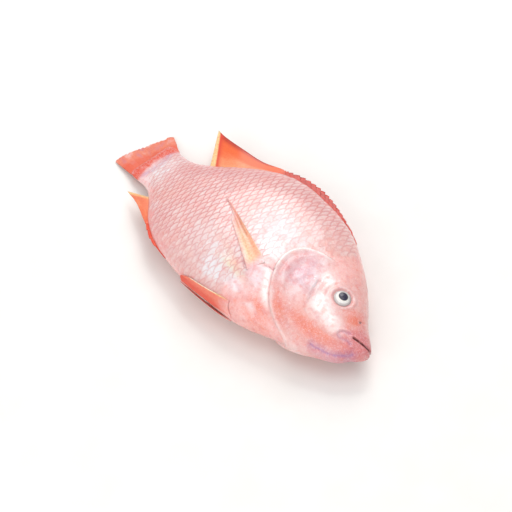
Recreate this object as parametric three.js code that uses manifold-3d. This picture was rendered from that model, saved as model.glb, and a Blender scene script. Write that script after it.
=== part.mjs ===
// A whole red tilapia lying on its left flank, as it rests on a table: body, fins and eyes.
// Millimetres, +Z up. The head points to +X and the back to +Y; the flank rests on Z = 0.
import * as THREE from "three";
import { mergeVertices } from "three/addons/utils/BufferGeometryUtils.js";
import Module from "manifold-3d";

const wasm = await Module();
wasm.setup();

// ---- Driving dimensions ----
const bodyLength = 250; // snout tip to the last scales on the tail root
const bodyDepth = 127; // back to belly at the deepest section
const bodyThickness = 46; // flank to flank at the widest section
const restingSink = 2; // how far the flank underneath flattens where it carries the fish
const tailDroop = 14; // how far the tail root hangs below the middle plane of the trunk
const droopStart = 165; // distance behind the snout where that droop begins

const pieceGap = 0.3; // clearance between a fin or an eye and the body around it

const eyeballRadius = 8;
const eyeBulge = 2.8; // how far the eyeball stands out of the head
const eyeSeptum = 6; // from the back of one eyeball to the back of the other, across the head
const eyeFromSnout = 43;
const eyeLevel = 2.2; // above the body axis

const gillFromSnout = 56; // centre of the round gill cover
const gillLevel = -12;
const gillRadius = 39;
const gillLift = 1.2; // how far the rim of the gill cover stands off the flank
const gillSlope = 16; // width of the zone in which it rises to its rim

const mouthLength = 16; // from the lips to the corner of the mouth
const mouthGape = 2; // opening between the lips
const mouthLevel = -7.5;
const mouthFall = 6; // how far the corner lies below the lips

const tailFinLength = 24; // from the tail root to the middle of its end
const tailFinSpread = 50; // height of the tail fin along its end
const tailFinSplay = 12; // how much further back the lower corner reaches than the upper
const tailFinRounding = 3; // how far the middle of the end stands out between the corners
const tailFinShift = 6; // how far the end is carried towards the back
const tailFinDrop = 5.5; // how far the end of the tail fin hangs below its root

const dorsalFinStart = 80; // distances behind the snout
const dorsalFinEnd = 211;
const dorsalSpineHeight = 5; // folded spines over the back
const dorsalTipHeight = 29; // soft rear point above the back
const dorsalTipSweep = 27; // how far that point trails behind the fin's root
const dorsalTipLift = 6; // how far that point stands above the fish's middle plane

const analFinStart = 166;
const analFinEnd = 220;
const analSpineHeight = 3;
const analTipHeight = 3;
const analTipSweep = 23;
const analTipLift = 1;

const pectoralRoot = 101; // middle of the root of the pectoral fin, distances behind the snout
const pectoralRootLevel = -28;
const pectoralRootWidth = 13.5;
const pectoralTip = 169;
const pectoralTipLevel = 0;
const pectoralTipWidth = 4;
const pectoralLift = 1.6; // how far the fin's tip stands off the flank

const pelvicRoot = 96;
const pelvicRootAngle = 163; // round the section from the back, which is 0, to the belly, which is 180
const pelvicRootSpan = 18; // degrees of the section that the fin's root covers
const pelvicTip = 143;
const pelvicTipAngle = 173;
const pelvicTipSpan = 8;
const pelvicLift = 2.5;

const rayFinThickness = 1.6; // at the root of the tail, back and anal fins
const pairedFinThickness = 1.2; // pectoral and pelvic fins
const edgeThinning = 0.55; // share of a fin's thickness that is left at its free edge

// ---- Body outlines: [share of the length behind the snout, share of the depth above the axis] ----
const backOutline = [
  [0, -0.1], [0.003, -0.08], [0.012, -0.056], [0.03, -0.024], [0.075, 0.043], [0.15, 0.186], [0.25, 0.333],
  [0.37, 0.45], [0.5, 0.494], [0.6, 0.487], [0.68, 0.43], [0.76, 0.325], [0.84, 0.205],
  [0.9, 0.145], [0.95, 0.145], [1, 0.17],
];
const bellyOutline = [
  [0, -0.1], [0.003, -0.12], [0.012, -0.15], [0.03, -0.19], [0.06, -0.265], [0.14, -0.343], [0.24, -0.408],
  [0.36, -0.487], [0.5, -0.506], [0.64, -0.49], [0.74, -0.445], [0.82, -0.36], [0.88, -0.255],
  [0.93, -0.19], [1, -0.165],
];
// Half thickness as a share of half the greatest thickness, and the level where each section is widest.
const flankOutline = [
  [0, 0], [0.003, 0.12], [0.012, 0.22], [0.035, 0.33], [0.09, 0.5], [0.16, 0.68], [0.26, 0.87],
  [0.36, 0.97], [0.46, 1], [0.6, 0.9], [0.72, 0.68], [0.82, 0.46], [0.9, 0.31], [0.96, 0.22], [1, 0.17],
];
const widestLevel = [
  [0, -0.1], [0.08, -0.09], [0.2, -0.05], [0.45, -0.06], [0.75, -0.05], [1, 0],
];

// Reads an outline at a share of the length: a smooth curve through its points, looked up in fine steps.
const FINE_STEPS = 600;
function reader(outline) {
  const curve = new THREE.SplineCurve(outline.map(([along, level]) => new THREE.Vector2(along, level)));
  const fine = curve.getPoints(FINE_STEPS);
  return (along) => {
    const share = THREE.MathUtils.clamp(along, 0, 1);
    const i = Math.max(1, fine.findIndex((p) => p.x >= share));
    const [before, after] = [fine[i - 1], fine[i]];
    const part = (share - before.x) / Math.max(1e-9, after.x - before.x);
    return THREE.MathUtils.lerp(before.y, after.y, THREE.MathUtils.clamp(part, 0, 1));
  };
}
const backShare = reader(backOutline);
const bellyShare = reader(bellyOutline);
const flankShare = reader(flankOutline);
const widestShare = reader(widestLevel);

const backAt = (fromSnout) => backShare(fromSnout / bodyLength) * bodyDepth;
const bellyAt = (fromSnout) => bellyShare(fromSnout / bodyLength) * bodyDepth;
const widestAt = (fromSnout) => widestShare(fromSnout / bodyLength) * bodyDepth;
const halfThicknessAt = (fromSnout) => (flankShare(fromSnout / bodyLength) * bodyThickness) / 2;

// Height of the fish's middle plane above the table: level along the trunk, then drooping to the tail.
function middleAt(fromSnout) {
  const past = Math.max(0, fromSnout - droopStart) / (bodyLength - droopStart);
  return bodyThickness / 2 - restingSink - tailDroop * Math.min(1, past) ** 2;
}

// How far the gill cover lifts the skin: it rises to its round rim and ends there in a step.
function gillRise(fromSnout, level) {
  const reach = Math.hypot(fromSnout - gillFromSnout, level - gillLevel);
  const rearwards = THREE.MathUtils.smoothstep(fromSnout - gillFromSnout, -gillRadius / 2, gillRadius / 2);
  const rise = THREE.MathUtils.smoothstep(reach, gillRadius - gillSlope, gillRadius);
  return reach < gillRadius ? gillLift * rise * rearwards : 0;
}

// A point of the unpressed skin: angle 0 is the back, 90 the upper flank, 180 the belly, 270 the
// flank underneath. Growing the section by a margin gives the same skin moved outwards.
function freeSkinPoint(fromSnout, angle, margin = 0) {
  const turn = THREE.MathUtils.degToRad(angle);
  const widest = widestAt(fromSnout);
  const reach = Math.cos(turn) >= 0 ? backAt(fromSnout) - widest : widest - bellyAt(fromSnout);
  const level = widest + (reach + margin) * Math.cos(turn);
  const half = halfThicknessAt(fromSnout) + gillRise(fromSnout, level) + margin;
  const height = middleAt(fromSnout) + half * Math.sin(turn);
  return new THREE.Vector3(-fromSnout, level, height);
}

// The same point with the flank underneath pressed flat by the table.
function skinPoint(fromSnout, angle, margin = 0) {
  const point = freeSkinPoint(fromSnout, angle, margin);
  point.z = Math.max(point.z, -margin);
  return point;
}

// The angle at which the upper flank reaches a level.
function angleAt(fromSnout, level) {
  const widest = widestAt(fromSnout);
  const reach = level >= widest ? backAt(fromSnout) - widest : widest - bellyAt(fromSnout);
  return THREE.MathUtils.radToDeg(Math.acos(THREE.MathUtils.clamp((level - widest) / reach, -1, 1)));
}

// The outward normal of the unpressed skin, from two short steps along and round it.
const STEP_ALONG = 1;
const STEP_ROUND = 2;
function skinNormal(fromSnout, angle) {
  const here = freeSkinPoint(fromSnout, angle);
  const along = freeSkinPoint(fromSnout + STEP_ALONG, angle).sub(here);
  const round = freeSkinPoint(fromSnout, angle + STEP_ROUND).sub(here);
  return along.cross(round).normalize();
}

// ---- Mesh helpers ----
function geometryFrom(points, triangles) {
  const geometry = new THREE.BufferGeometry().setFromPoints(points);
  geometry.setIndex(triangles);
  return geometry;
}

function solidFrom(geometry) {
  const bare = geometry.clone();
  bare.deleteAttribute("normal");
  bare.deleteAttribute("uv");
  const merged = mergeVertices(bare, 1e-4);
  const vertProperties = merged.attributes.position.array;
  const build = (triVerts) => new wasm.Manifold(new wasm.Mesh({ numProp: 3, vertProperties, triVerts }));
  const solid = build(new Uint32Array(merged.index.array));
  if (solid.volume() > 0) return solid;
  return build(new Uint32Array(merged.index.array).reverse());
}

function geometryOf(solid) {
  const { numProp, vertProperties, triVerts } = solid.getMesh();
  const points = [];
  for (let i = 0; i < vertProperties.length; i += numProp) {
    points.push(new THREE.Vector3().fromArray(vertProperties, i));
  }
  const geometry = geometryFrom(points, [...triVerts]).toNonIndexed();
  geometry.computeVertexNormals();
  return geometry;
}

// ---- Body ----
const RINGS = 46;
const RING_POINTS = 44;
const NOSE_CROWDING = 1.5; // above 1 sets the rings closer together at the snout

function bodySkin(margin) {
  const last = bodyLength + margin;
  const points = [new THREE.Vector3(margin, skinPoint(0, 0).y, middleAt(0))];
  for (let ring = 1; ring <= RINGS; ring++) {
    const fromSnout = bodyLength * (ring / RINGS) ** NOSE_CROWDING;
    const endMargin = ring === RINGS ? margin : 0;
    for (let k = 0; k < RING_POINTS; k++) {
      const point = skinPoint(fromSnout, (360 * k) / RING_POINTS, margin);
      point.x -= endMargin;
      points.push(point);
    }
  }
  points.push(new THREE.Vector3(-last, (backAt(last) + bellyAt(last)) / 2, middleAt(last)));
  const triangles = [];
  const at = (ring, k) => 1 + (ring - 1) * RING_POINTS + (k % RING_POINTS);
  const tailCentre = points.length - 1;
  for (let k = 0; k < RING_POINTS; k++) {
    triangles.push(0, at(1, k), at(1, k + 1));
    for (let ring = 1; ring < RINGS; ring++) {
      triangles.push(at(ring, k), at(ring + 1, k), at(ring + 1, k + 1));
      triangles.push(at(ring, k), at(ring + 1, k + 1), at(ring, k + 1));
    }
    triangles.push(at(RINGS, k), tailCentre, at(RINGS, k + 1));
  }
  return solidFrom(geometryFrom(points, triangles));
}

// ---- Fins: a sheet over a grid, thick at the root and thinner at its free edge ----
// surface(across, out) gives a centre point and the direction of the sheet's thickness, where
// across runs along the root and out runs from the root to the free edge. A margin grows the
// sheet by that much on both faces and past all four of its borders.
function finSheet(surface, thickness, columns, rows, margin = 0) {
  const grid = [];
  for (let i = 0; i <= columns; i++) {
    grid.push([]);
    for (let j = 0; j <= rows; j++) grid[i].push(surface(i / columns, j / rows));
  }
  const pushed = (point, border, inner) =>
    point.addScaledVector(border.centre.clone().sub(inner.centre).normalize(), margin);
  const points = [];
  for (const side of [1, -1]) {
    for (let i = 0; i <= columns; i++) {
      for (let j = 0; j <= rows; j++) {
        const half = (thickness * THREE.MathUtils.lerp(1, edgeThinning, j / rows)) / 2 + margin;
        const point = grid[i][j].centre.clone().addScaledVector(grid[i][j].normal, side * half);
        if (i === 0) pushed(point, grid[0][j], grid[1][j]);
        if (i === columns) pushed(point, grid[columns][j], grid[columns - 1][j]);
        if (j === 0) pushed(point, grid[i][0], grid[i][1]);
        if (j === rows) pushed(point, grid[i][rows], grid[i][rows - 1]);
        points.push(point);
      }
    }
  }
  const layer = (columns + 1) * (rows + 1);
  const at = (side, i, j) => side * layer + i * (rows + 1) + j;
  const triangles = [];
  const quad = (a, b, c, d) => triangles.push(a, b, c, a, c, d);
  for (let i = 0; i < columns; i++) {
    for (let j = 0; j < rows; j++) {
      quad(at(0, i, j), at(0, i + 1, j), at(0, i + 1, j + 1), at(0, i, j + 1));
      quad(at(1, i, j), at(1, i, j + 1), at(1, i + 1, j + 1), at(1, i + 1, j));
    }
    quad(at(0, i, 0), at(1, i, 0), at(1, i + 1, 0), at(0, i + 1, 0));
    quad(at(0, i, rows), at(0, i + 1, rows), at(1, i + 1, rows), at(1, i, rows));
  }
  for (let j = 0; j < rows; j++) {
    quad(at(0, 0, j), at(0, 0, j + 1), at(1, 0, j + 1), at(1, 0, j));
    quad(at(0, columns, j), at(1, columns, j), at(1, columns, j + 1), at(0, columns, j + 1));
  }
  return solidFrom(geometryFrom(points, triangles));
}

const UP = new THREE.Vector3(0, 0, 1);
const ROOT_DEPTH = 4; // how far a fin's sheet starts inside the skin before the body is cut away from it

// The fins of the middle plane run from a root line in the body to a free edge, both as [fromSnout, level].
function middleFin(root, edge, drop) {
  return (across, out) => {
    const [rootBack, rootLevel] = root(across);
    const [edgeBack, edgeLevel] = edge(across);
    const fromSnout = THREE.MathUtils.lerp(rootBack, edgeBack, out);
    const level = THREE.MathUtils.lerp(rootLevel, edgeLevel, out);
    const hanging = middleAt(Math.min(fromSnout, bodyLength)) - drop(across) * out;
    const height = Math.max(hanging, rayFinThickness / 2);
    return { centre: new THREE.Vector3(-fromSnout, level, height), normal: UP };
  };
}

// Tail fin: a fan of rays from the tail root, its end hanging to the table.
function tailSurface() {
  const middle = (backAt(bodyLength) + bellyAt(bodyLength)) / 2;
  const rootHalf = (backAt(bodyLength) - bellyAt(bodyLength)) / 2;
  const root = (across) => [bodyLength - ROOT_DEPTH, middle + rootHalf * (1 - 2 * across)];
  const edge = (across) => {
    const bulge = tailFinRounding * (Math.sin(Math.PI * across) - 1);
    const fromSnout = bodyLength + tailFinLength + tailFinSplay * (across - 0.5) + bulge;
    return [fromSnout, middle + tailFinShift + (tailFinSpread / 2) * (1 - 2 * across)];
  };
  return middleFin(root, edge, () => tailFinDrop);
}

// Back and anal fins: low folded spines, then a soft part that rises to a swept point at the rear.
const SPINY_SHARE = 0.62; // share of the root that carries spines
const SOFT_RISE = 2.4; // above 1 holds the soft part's edge low before it sweeps up to its point
function risingFin({ start, end, levelAt, upwards, spineHeight, tipHeight, tipSweep, tipLift }) {
  const softAt = (across) => (Math.max(0, across - SPINY_SHARE) / (1 - SPINY_SHARE)) ** SOFT_RISE;
  const root = (across) => {
    const fromSnout = THREE.MathUtils.lerp(start, end, across);
    return [fromSnout, levelAt(fromSnout) - upwards * ROOT_DEPTH];
  };
  const edge = (across) => {
    const [fromSnout] = root(across);
    const opening = THREE.MathUtils.smoothstep(across, 0, SPINY_SHARE);
    const soft = softAt(across);
    const height = spineHeight * opening + (tipHeight - spineHeight) * soft;
    return [fromSnout + tipSweep * soft, levelAt(fromSnout) + upwards * height];
  };
  return middleFin(root, edge, (across) => -tipLift * softAt(across));
}

// Paired fins lie along the skin: rays run back from a short root to a narrow tip.
function flankFin(fin, underneath) {
  return (across, out) => {
    const fromSnout = THREE.MathUtils.lerp(fin.root, fin.tip, out);
    const rightAngle = fin.angle(fromSnout, across, out);
    const angle = underneath ? 360 - rightAngle : rightAngle;
    const normal = skinNormal(fromSnout, angle);
    const standOff = pieceGap + pairedFinThickness / 2 + fin.lift * out;
    const centre = freeSkinPoint(fromSnout, angle).addScaledVector(normal, standOff);
    centre.z = Math.max(centre.z, pairedFinThickness / 2);
    return { centre, normal };
  };
}

const dorsal = {
  start: dorsalFinStart, end: dorsalFinEnd, levelAt: backAt, upwards: 1, spineHeight: dorsalSpineHeight,
  tipHeight: dorsalTipHeight, tipSweep: dorsalTipSweep, tipLift: dorsalTipLift,
};
const anal = {
  start: analFinStart, end: analFinEnd, levelAt: bellyAt, upwards: -1, spineHeight: analSpineHeight,
  tipHeight: analTipHeight, tipSweep: analTipSweep, tipLift: analTipLift,
};
function pectoralAngle(fromSnout, across, out) {
  const width = THREE.MathUtils.lerp(pectoralRootWidth, pectoralTipWidth, out);
  const level = THREE.MathUtils.lerp(pectoralRootLevel, pectoralTipLevel, out) + width * (0.5 - across);
  return angleAt(fromSnout, level);
}
function pelvicAngle(fromSnout, across, out) {
  const span = THREE.MathUtils.lerp(pelvicRootSpan, pelvicTipSpan, out);
  return THREE.MathUtils.lerp(pelvicRootAngle, pelvicTipAngle, out) + span * (across - 0.5);
}
const pectoral = { root: pectoralRoot, tip: pectoralTip, angle: pectoralAngle, lift: pectoralLift };
const pelvic = { root: pelvicRoot, tip: pelvicTip, angle: pelvicAngle, lift: pelvicLift };

// ---- Eyes: balls set in the head so that a cap of each shows, each as deep as the head lets it be ----
function eyeball(underneath, margin = 0) {
  const rightAngle = angleAt(eyeFromSnout, eyeLevel);
  const angle = underneath ? 360 - rightAngle : rightAngle;
  const normal = skinNormal(eyeFromSnout, angle);
  const skin = freeSkinPoint(eyeFromSnout, angle);
  const fromMiddle = Math.abs(skin.z - middleAt(eyeFromSnout));
  const depth = eyeBulge + (fromMiddle - eyeSeptum / 2) / Math.abs(normal.z);
  const centre = skin.addScaledVector(normal, eyeBulge - depth / 2);
  const outwards = new THREE.Quaternion().setFromUnitVectors(UP, normal);
  return new THREE.SphereGeometry(1, 24, 16)
    .scale(eyeballRadius + margin, eyeballRadius + margin, depth / 2 + margin)
    .applyQuaternion(outwards)
    .translate(...centre);
}

// ---- Mouth: a slit that opens from its corner towards the lips, through the whole snout ----
function mouthSlit() {
  const outline = new THREE.Shape([
    new THREE.Vector2(-mouthLength, mouthLevel - mouthFall),
    new THREE.Vector2(mouthGape, mouthLevel - mouthGape / 2),
    new THREE.Vector2(mouthGape, mouthLevel + mouthGape / 2),
  ]);
  return new THREE.ExtrudeGeometry(outline, { depth: bodyThickness, bevelEnabled: false });
}

// ---- Materials ----
const material = (color, roughness) => new THREE.MeshStandardMaterial({ color, roughness, metalness: 0 });
const skinMaterial = material("#e8b6b4", 0.4);
const finMaterial = material("#ee7a55", 0.45);
const eyeMaterial = material("#dfe0e2", 0.15);

// ---- Assembly ----
const fish = new THREE.Group();
function addPiece(name, solid, finish) {
  const mesh = new THREE.Mesh(geometryOf(solid), finish);
  mesh.name = name;
  fish.add(mesh);
}

const FIN_COLUMNS = 12;
const FIN_ROWS = 5;
const middleFins = [
  ["tail_fin", tailSurface(), FIN_COLUMNS],
  ["dorsal_fin", risingFin(dorsal), 3 * FIN_COLUMNS],
  ["anal_fin", risingFin(anal), 2 * FIN_COLUMNS],
];
const pairedFins = [
  ["pectoral_fin_right", flankFin(pectoral, false)],
  ["pectoral_fin_left", flankFin(pectoral, true)],
  ["pelvic_fin_right", flankFin(pelvic, false)],
  ["pelvic_fin_left", flankFin(pelvic, true)],
];
const PAIRED_COLUMNS = 4;
const PAIRED_ROWS = 18;

// The fins of the middle plane stop short of the skin; the paired fins and the eyes bed into the body.
const clearSkin = bodySkin(pieceGap);
for (const [name, surface, columns] of middleFins) {
  addPiece(name, finSheet(surface, rayFinThickness, columns, FIN_ROWS).subtract(clearSkin), finMaterial);
}
let body = bodySkin(0).subtract(solidFrom(mouthSlit()));
for (const [name, surface] of pairedFins) {
  addPiece(name, finSheet(surface, pairedFinThickness, PAIRED_COLUMNS, PAIRED_ROWS), finMaterial);
  body = body.subtract(finSheet(surface, pairedFinThickness, PAIRED_COLUMNS, PAIRED_ROWS, pieceGap));
}
for (const [name, underneath] of [["eye_right", false], ["eye_left", true]]) {
  addPiece(name, solidFrom(eyeball(underneath)), eyeMaterial);
  body = body.subtract(solidFrom(eyeball(underneath, pieceGap)));
}
addPiece("body", body, skinMaterial);

// The origin is on the table, under the middle of the whole fish.
const overall = new THREE.Box3().setFromObject(fish);
const centre = overall.getCenter(new THREE.Vector3());
fish.children.forEach((mesh) => mesh.position.set(-centre.x, -centre.y, 0));

export default fish;
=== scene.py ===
"""A red tilapia lying on its flank: scaled skin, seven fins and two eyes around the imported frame."""

import math

import bpy
import numpy as np
from bpy.props import FloatProperty, IntProperty, PointerProperty, StringProperty
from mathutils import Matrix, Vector, noise


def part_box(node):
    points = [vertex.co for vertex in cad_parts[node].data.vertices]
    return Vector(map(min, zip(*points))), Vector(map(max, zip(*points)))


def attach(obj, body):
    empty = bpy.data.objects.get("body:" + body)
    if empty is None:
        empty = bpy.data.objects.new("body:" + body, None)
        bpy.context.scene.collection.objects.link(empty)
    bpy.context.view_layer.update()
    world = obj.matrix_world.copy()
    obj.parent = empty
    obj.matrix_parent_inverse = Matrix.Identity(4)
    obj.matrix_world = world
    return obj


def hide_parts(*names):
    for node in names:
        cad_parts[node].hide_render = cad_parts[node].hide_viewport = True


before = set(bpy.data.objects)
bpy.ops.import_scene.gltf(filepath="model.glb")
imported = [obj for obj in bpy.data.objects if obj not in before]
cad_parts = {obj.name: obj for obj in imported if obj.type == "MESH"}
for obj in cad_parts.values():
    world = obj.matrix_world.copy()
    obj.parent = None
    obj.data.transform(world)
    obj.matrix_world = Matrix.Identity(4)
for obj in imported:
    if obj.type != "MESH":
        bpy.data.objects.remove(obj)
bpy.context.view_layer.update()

bl_info = {
    "name": "Whole tilapia",
    "version": (1, 0, 0),
    "blender": (4, 5, 0),
    "location": "View3D > Sidebar > Tilapia",
    "description": "Builds a whole red tilapia lying on its flank",
    "category": "Add Mesh",
}

SKIN_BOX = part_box("body")
MM = 0.001  # shapes are worked out in millimetres and made in metres

# ---------------------------------------------------------------------------------------------
# Outlines of the fish. s is the distance behind the snout and h the height above the body axis,
# both in millimetres. The body outlines hold shares of the length and of the depth.
# ---------------------------------------------------------------------------------------------
BACK = [
    (0, -0.1), (0.003, -0.08), (0.012, -0.056), (0.03, -0.024), (0.075, 0.043), (0.15, 0.186),
    (0.25, 0.333), (0.37, 0.45), (0.5, 0.494), (0.6, 0.487), (0.68, 0.43), (0.76, 0.325),
    (0.84, 0.205), (0.9, 0.145), (0.95, 0.145), (1, 0.17),
]
BELLY = [
    (0, -0.1), (0.003, -0.12), (0.012, -0.15), (0.03, -0.19), (0.06, -0.265), (0.14, -0.343),
    (0.24, -0.408), (0.36, -0.487), (0.5, -0.506), (0.64, -0.49), (0.74, -0.445), (0.82, -0.36),
    (0.88, -0.255), (0.93, -0.19), (1, -0.165),
]
FLANK = [
    (0, 0), (0.003, 0.12), (0.012, 0.22), (0.035, 0.33), (0.09, 0.5), (0.16, 0.68), (0.26, 0.87),
    (0.36, 0.97), (0.46, 1), (0.6, 0.9), (0.72, 0.68), (0.82, 0.46), (0.9, 0.31), (0.96, 0.22),
    (1, 0.17),
]
WIDEST = [(0, -0.1), (0.08, -0.09), (0.2, -0.05), (0.45, -0.06), (0.75, -0.05), (1, 0)]

GILL_CENTRE = (56.0, -12.0)
GILL_RIM = [  # radius of the gill cover's rim against the angle round its centre, in degrees
    (-135, 40), (-107, 37.5), (-86, 35), (-70, 34.4), (-55, 34), (-40, 34), (-30, 34.4),
    (-20, 35.6), (-6, 38.2), (10, 41), (22, 42), (32, 41.5), (44, 38.5), (60, 35.5), (80, 33),
]
EYE = (43.0, 2.2)
NOSTRIL = (21.5, -0.2)
MOUTH = [(-1, -9.2), (2.1, -10), (7.6, -11.3), (10.8, -12.1), (15.1, -13.3)]
LIP_FOLD = [
    (18.9, -13.3), (22.8, -15.8), (24.3, -19), (23.2, -21), (19.9, -20.2), (16.5, -18.6), (13.1, -18.4),
]
JAW_FOLD = [
    (33, -38.4), (29.4, -37.6), (25.8, -36.2), (19.6, -34), (15.2, -31.2), (10.3, -26), (7.6, -21.6),
]
PREOPERCLE = [
    (63.4, -1.5), (61.2, -9), (58.7, -14.5), (57, -20), (56, -24), (52.4, -26.4), (47.8, -27.6),
    (43.9, -27.6), (37.6, -27.2), (30.7, -26), (24.8, -23.7),
]
PECTORAL_PAD = (97.5, -31.5)
PECTORAL_SLIT = [(128.4, -14.2), (138.2, -10.4), (146.1, -6.2)]
PECTORAL_CREASE = [(115.9, -30.3), (110, -32.8), (105.5, -34.6)]
SHOULDER_CREASE = [(99, -22.6), (95.5, -21.2), (91.5, -20.2)]
# A painted highlight line along the cheek.
CHEEK_HIGHLIGHT_LINE = [(62.5, -11), (63, -5)]
TAIL_ROOT_LINE = [(249, 14), (244, 5), (243, -8), (246, -17)]

TAIL_SLEEVE = 7.0  # how far the skin of the tail root runs over the fin's rays
TAIL_RIDGES = 1.15  # radians of the tail root's ridges in each millimetre of height
TAIL_RIDGE_START = 0.3175  # height of one of the furrows between them

# Soft oval patches, each with its middle, its half sizes and its turn in degrees.
SHOULDER = (117, 6), (25, 22), 10
LOW_FLANK = (138, -36), (30, 14), 10
MUSCLE = (115, -39), (12, 3.2)  # behind the root of the pectoral fin

# The same, with a strength in front.
# Pale patches: partly pale skin, partly painted highlight, chiefly on the shoulder, along the top of the
# flank and on the tail root.
PEARL_AND_HIGHLIGHT_PATCHES = [
    (1.0, *SHOULDER),
    (0.75, (107, -8), (9, 12)),
    (0.75, *LOW_FLANK),
    (1.0, (238, -2), (11, 20)),
    (0.4, (180, -8), (34, 16)),
    (0.5, (70, -16), (9, 13)),
    (0.35, (66, 18), (12, 9)),
    (0.9, (116, -48), (22, 8), -8),
]
# Painted highlights on the cheek, laid on in white.
CHEEK_HIGHLIGHTS = [(1.0, (49, -15), (8, 10), -20), (1.0, (34, -17), (9, 6), 15), (0.9, (61, 4), (8, 6))]
SALMON_PATCHES = [
    (1.1, (46, -32), (15, 6), -4),
    (0.85, (80, -50), (14, 7), 15),
    (0.6, (118, -54), (24, 7)),
    (0.6, (26, -27), (11, 5), -15),
    (1.2, (26, -3), (6, 7), -20),
    (0.25, (56, 30), (22, 8), 30),
    (0.55, (212, -25), (8, 8)),
    (0.7, (146, 6), (6, 12), -35),
    (0.45, (200, -12), (14, 10)),
    (0.4, (226, 4), (6, 8)),
    (0.5, (72, 22), (14, 6), 20),
]
ROSE_PATCHES = [(1.3, (10, -13), (14, 11), -25), (0.5, (20, -28), (18, 8), -40)]
# On the shoulder and the tail root the scale rims are drawn faint under the painted highlight laid there.
FAINT_SCALE_PATCHES = [  # where the scales are hardly drawn
    (0.65, (80, 26), (26, 18), 20),
    (0.6, (88, -46), (20, 12)),
    (0.75, *SHOULDER),
    (0.5, *LOW_FLANK),
    (0.35, (238, -2), (14, 20)),
]
SMALL_SCALE_PATCHES = [(0.45, (117, 6), (22, 20), 10), (0.4, (138, -38), (34, 14), 10)]


def smoothstep(value, low, high):
    share = np.clip((value - low) / (high - low), 0, 1)
    return share * share * (3 - 2 * share)


def curve_through(points, steps=600):
    """Fine points on a Catmull-Rom curve through the given ones."""
    p = np.array(points, float)
    last = len(p) - 1
    t = np.linspace(0, last, steps + 1)
    i = np.minimum(t.astype(int), last - 1)
    w = (t - i)[:, None]
    before, a, b, after = p[np.maximum(i - 1, 0)], p[i], p[i + 1], p[np.minimum(i + 2, last)]
    va, vb = (b - before) / 2, (after - a) / 2
    return (2 * a - 2 * b + va + vb) * w**3 + (3 * b - 3 * a - 2 * va - vb) * w**2 + va * w + a


def reader(points):
    """A function that reads the smooth curve through the points at a given first coordinate."""
    fine = curve_through(points)
    return lambda at: np.interp(at, fine[:, 0], fine[:, 1])


def blob(s, h, at, size, turn=0.0):
    """A soft oval patch: 1 in its middle, fading past its edge. turn is in degrees."""
    c, d = math.cos(math.radians(turn)), math.sin(math.radians(turn))
    along = ((s - at[0]) * c + (h - at[1]) * d) / size[0]
    across = ((h - at[1]) * c - (s - at[0]) * d) / size[1]
    return np.exp(-(along**2 + across**2))


def patches(s, h, listed):
    """The sum of soft oval patches, each with its strength."""
    return sum(strength * blob(s, h, *patch) for strength, *patch in listed)


def distance_to(s, h, path):
    """The distance from each point to a smooth path."""
    fine = curve_through(path, 60)
    best = np.full(np.shape(s), 1e9)
    for (s0, h0), (s1, h1) in zip(fine[:-1], fine[1:]):
        run, rise = s1 - s0, h1 - h0
        t = np.clip(((s - s0) * run + (h - h0) * rise) / (run * run + rise * rise + 1e-9), 0, 1)
        best = np.minimum(best, np.hypot(s - s0 - t * run, h - h0 - t * rise))
    return best


def bell(distance, width):
    return np.exp(-((distance / width) ** 2))


def ripple(points, size, seed):
    """Smooth noise from -1 to 1 at each point, with features of about that size."""
    flat = np.asarray(points, float).reshape(-1, 3) / size + seed * 17.3
    return np.array([noise.noise(Vector(p)) for p in flat]).reshape(np.shape(points)[:-1])


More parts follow.
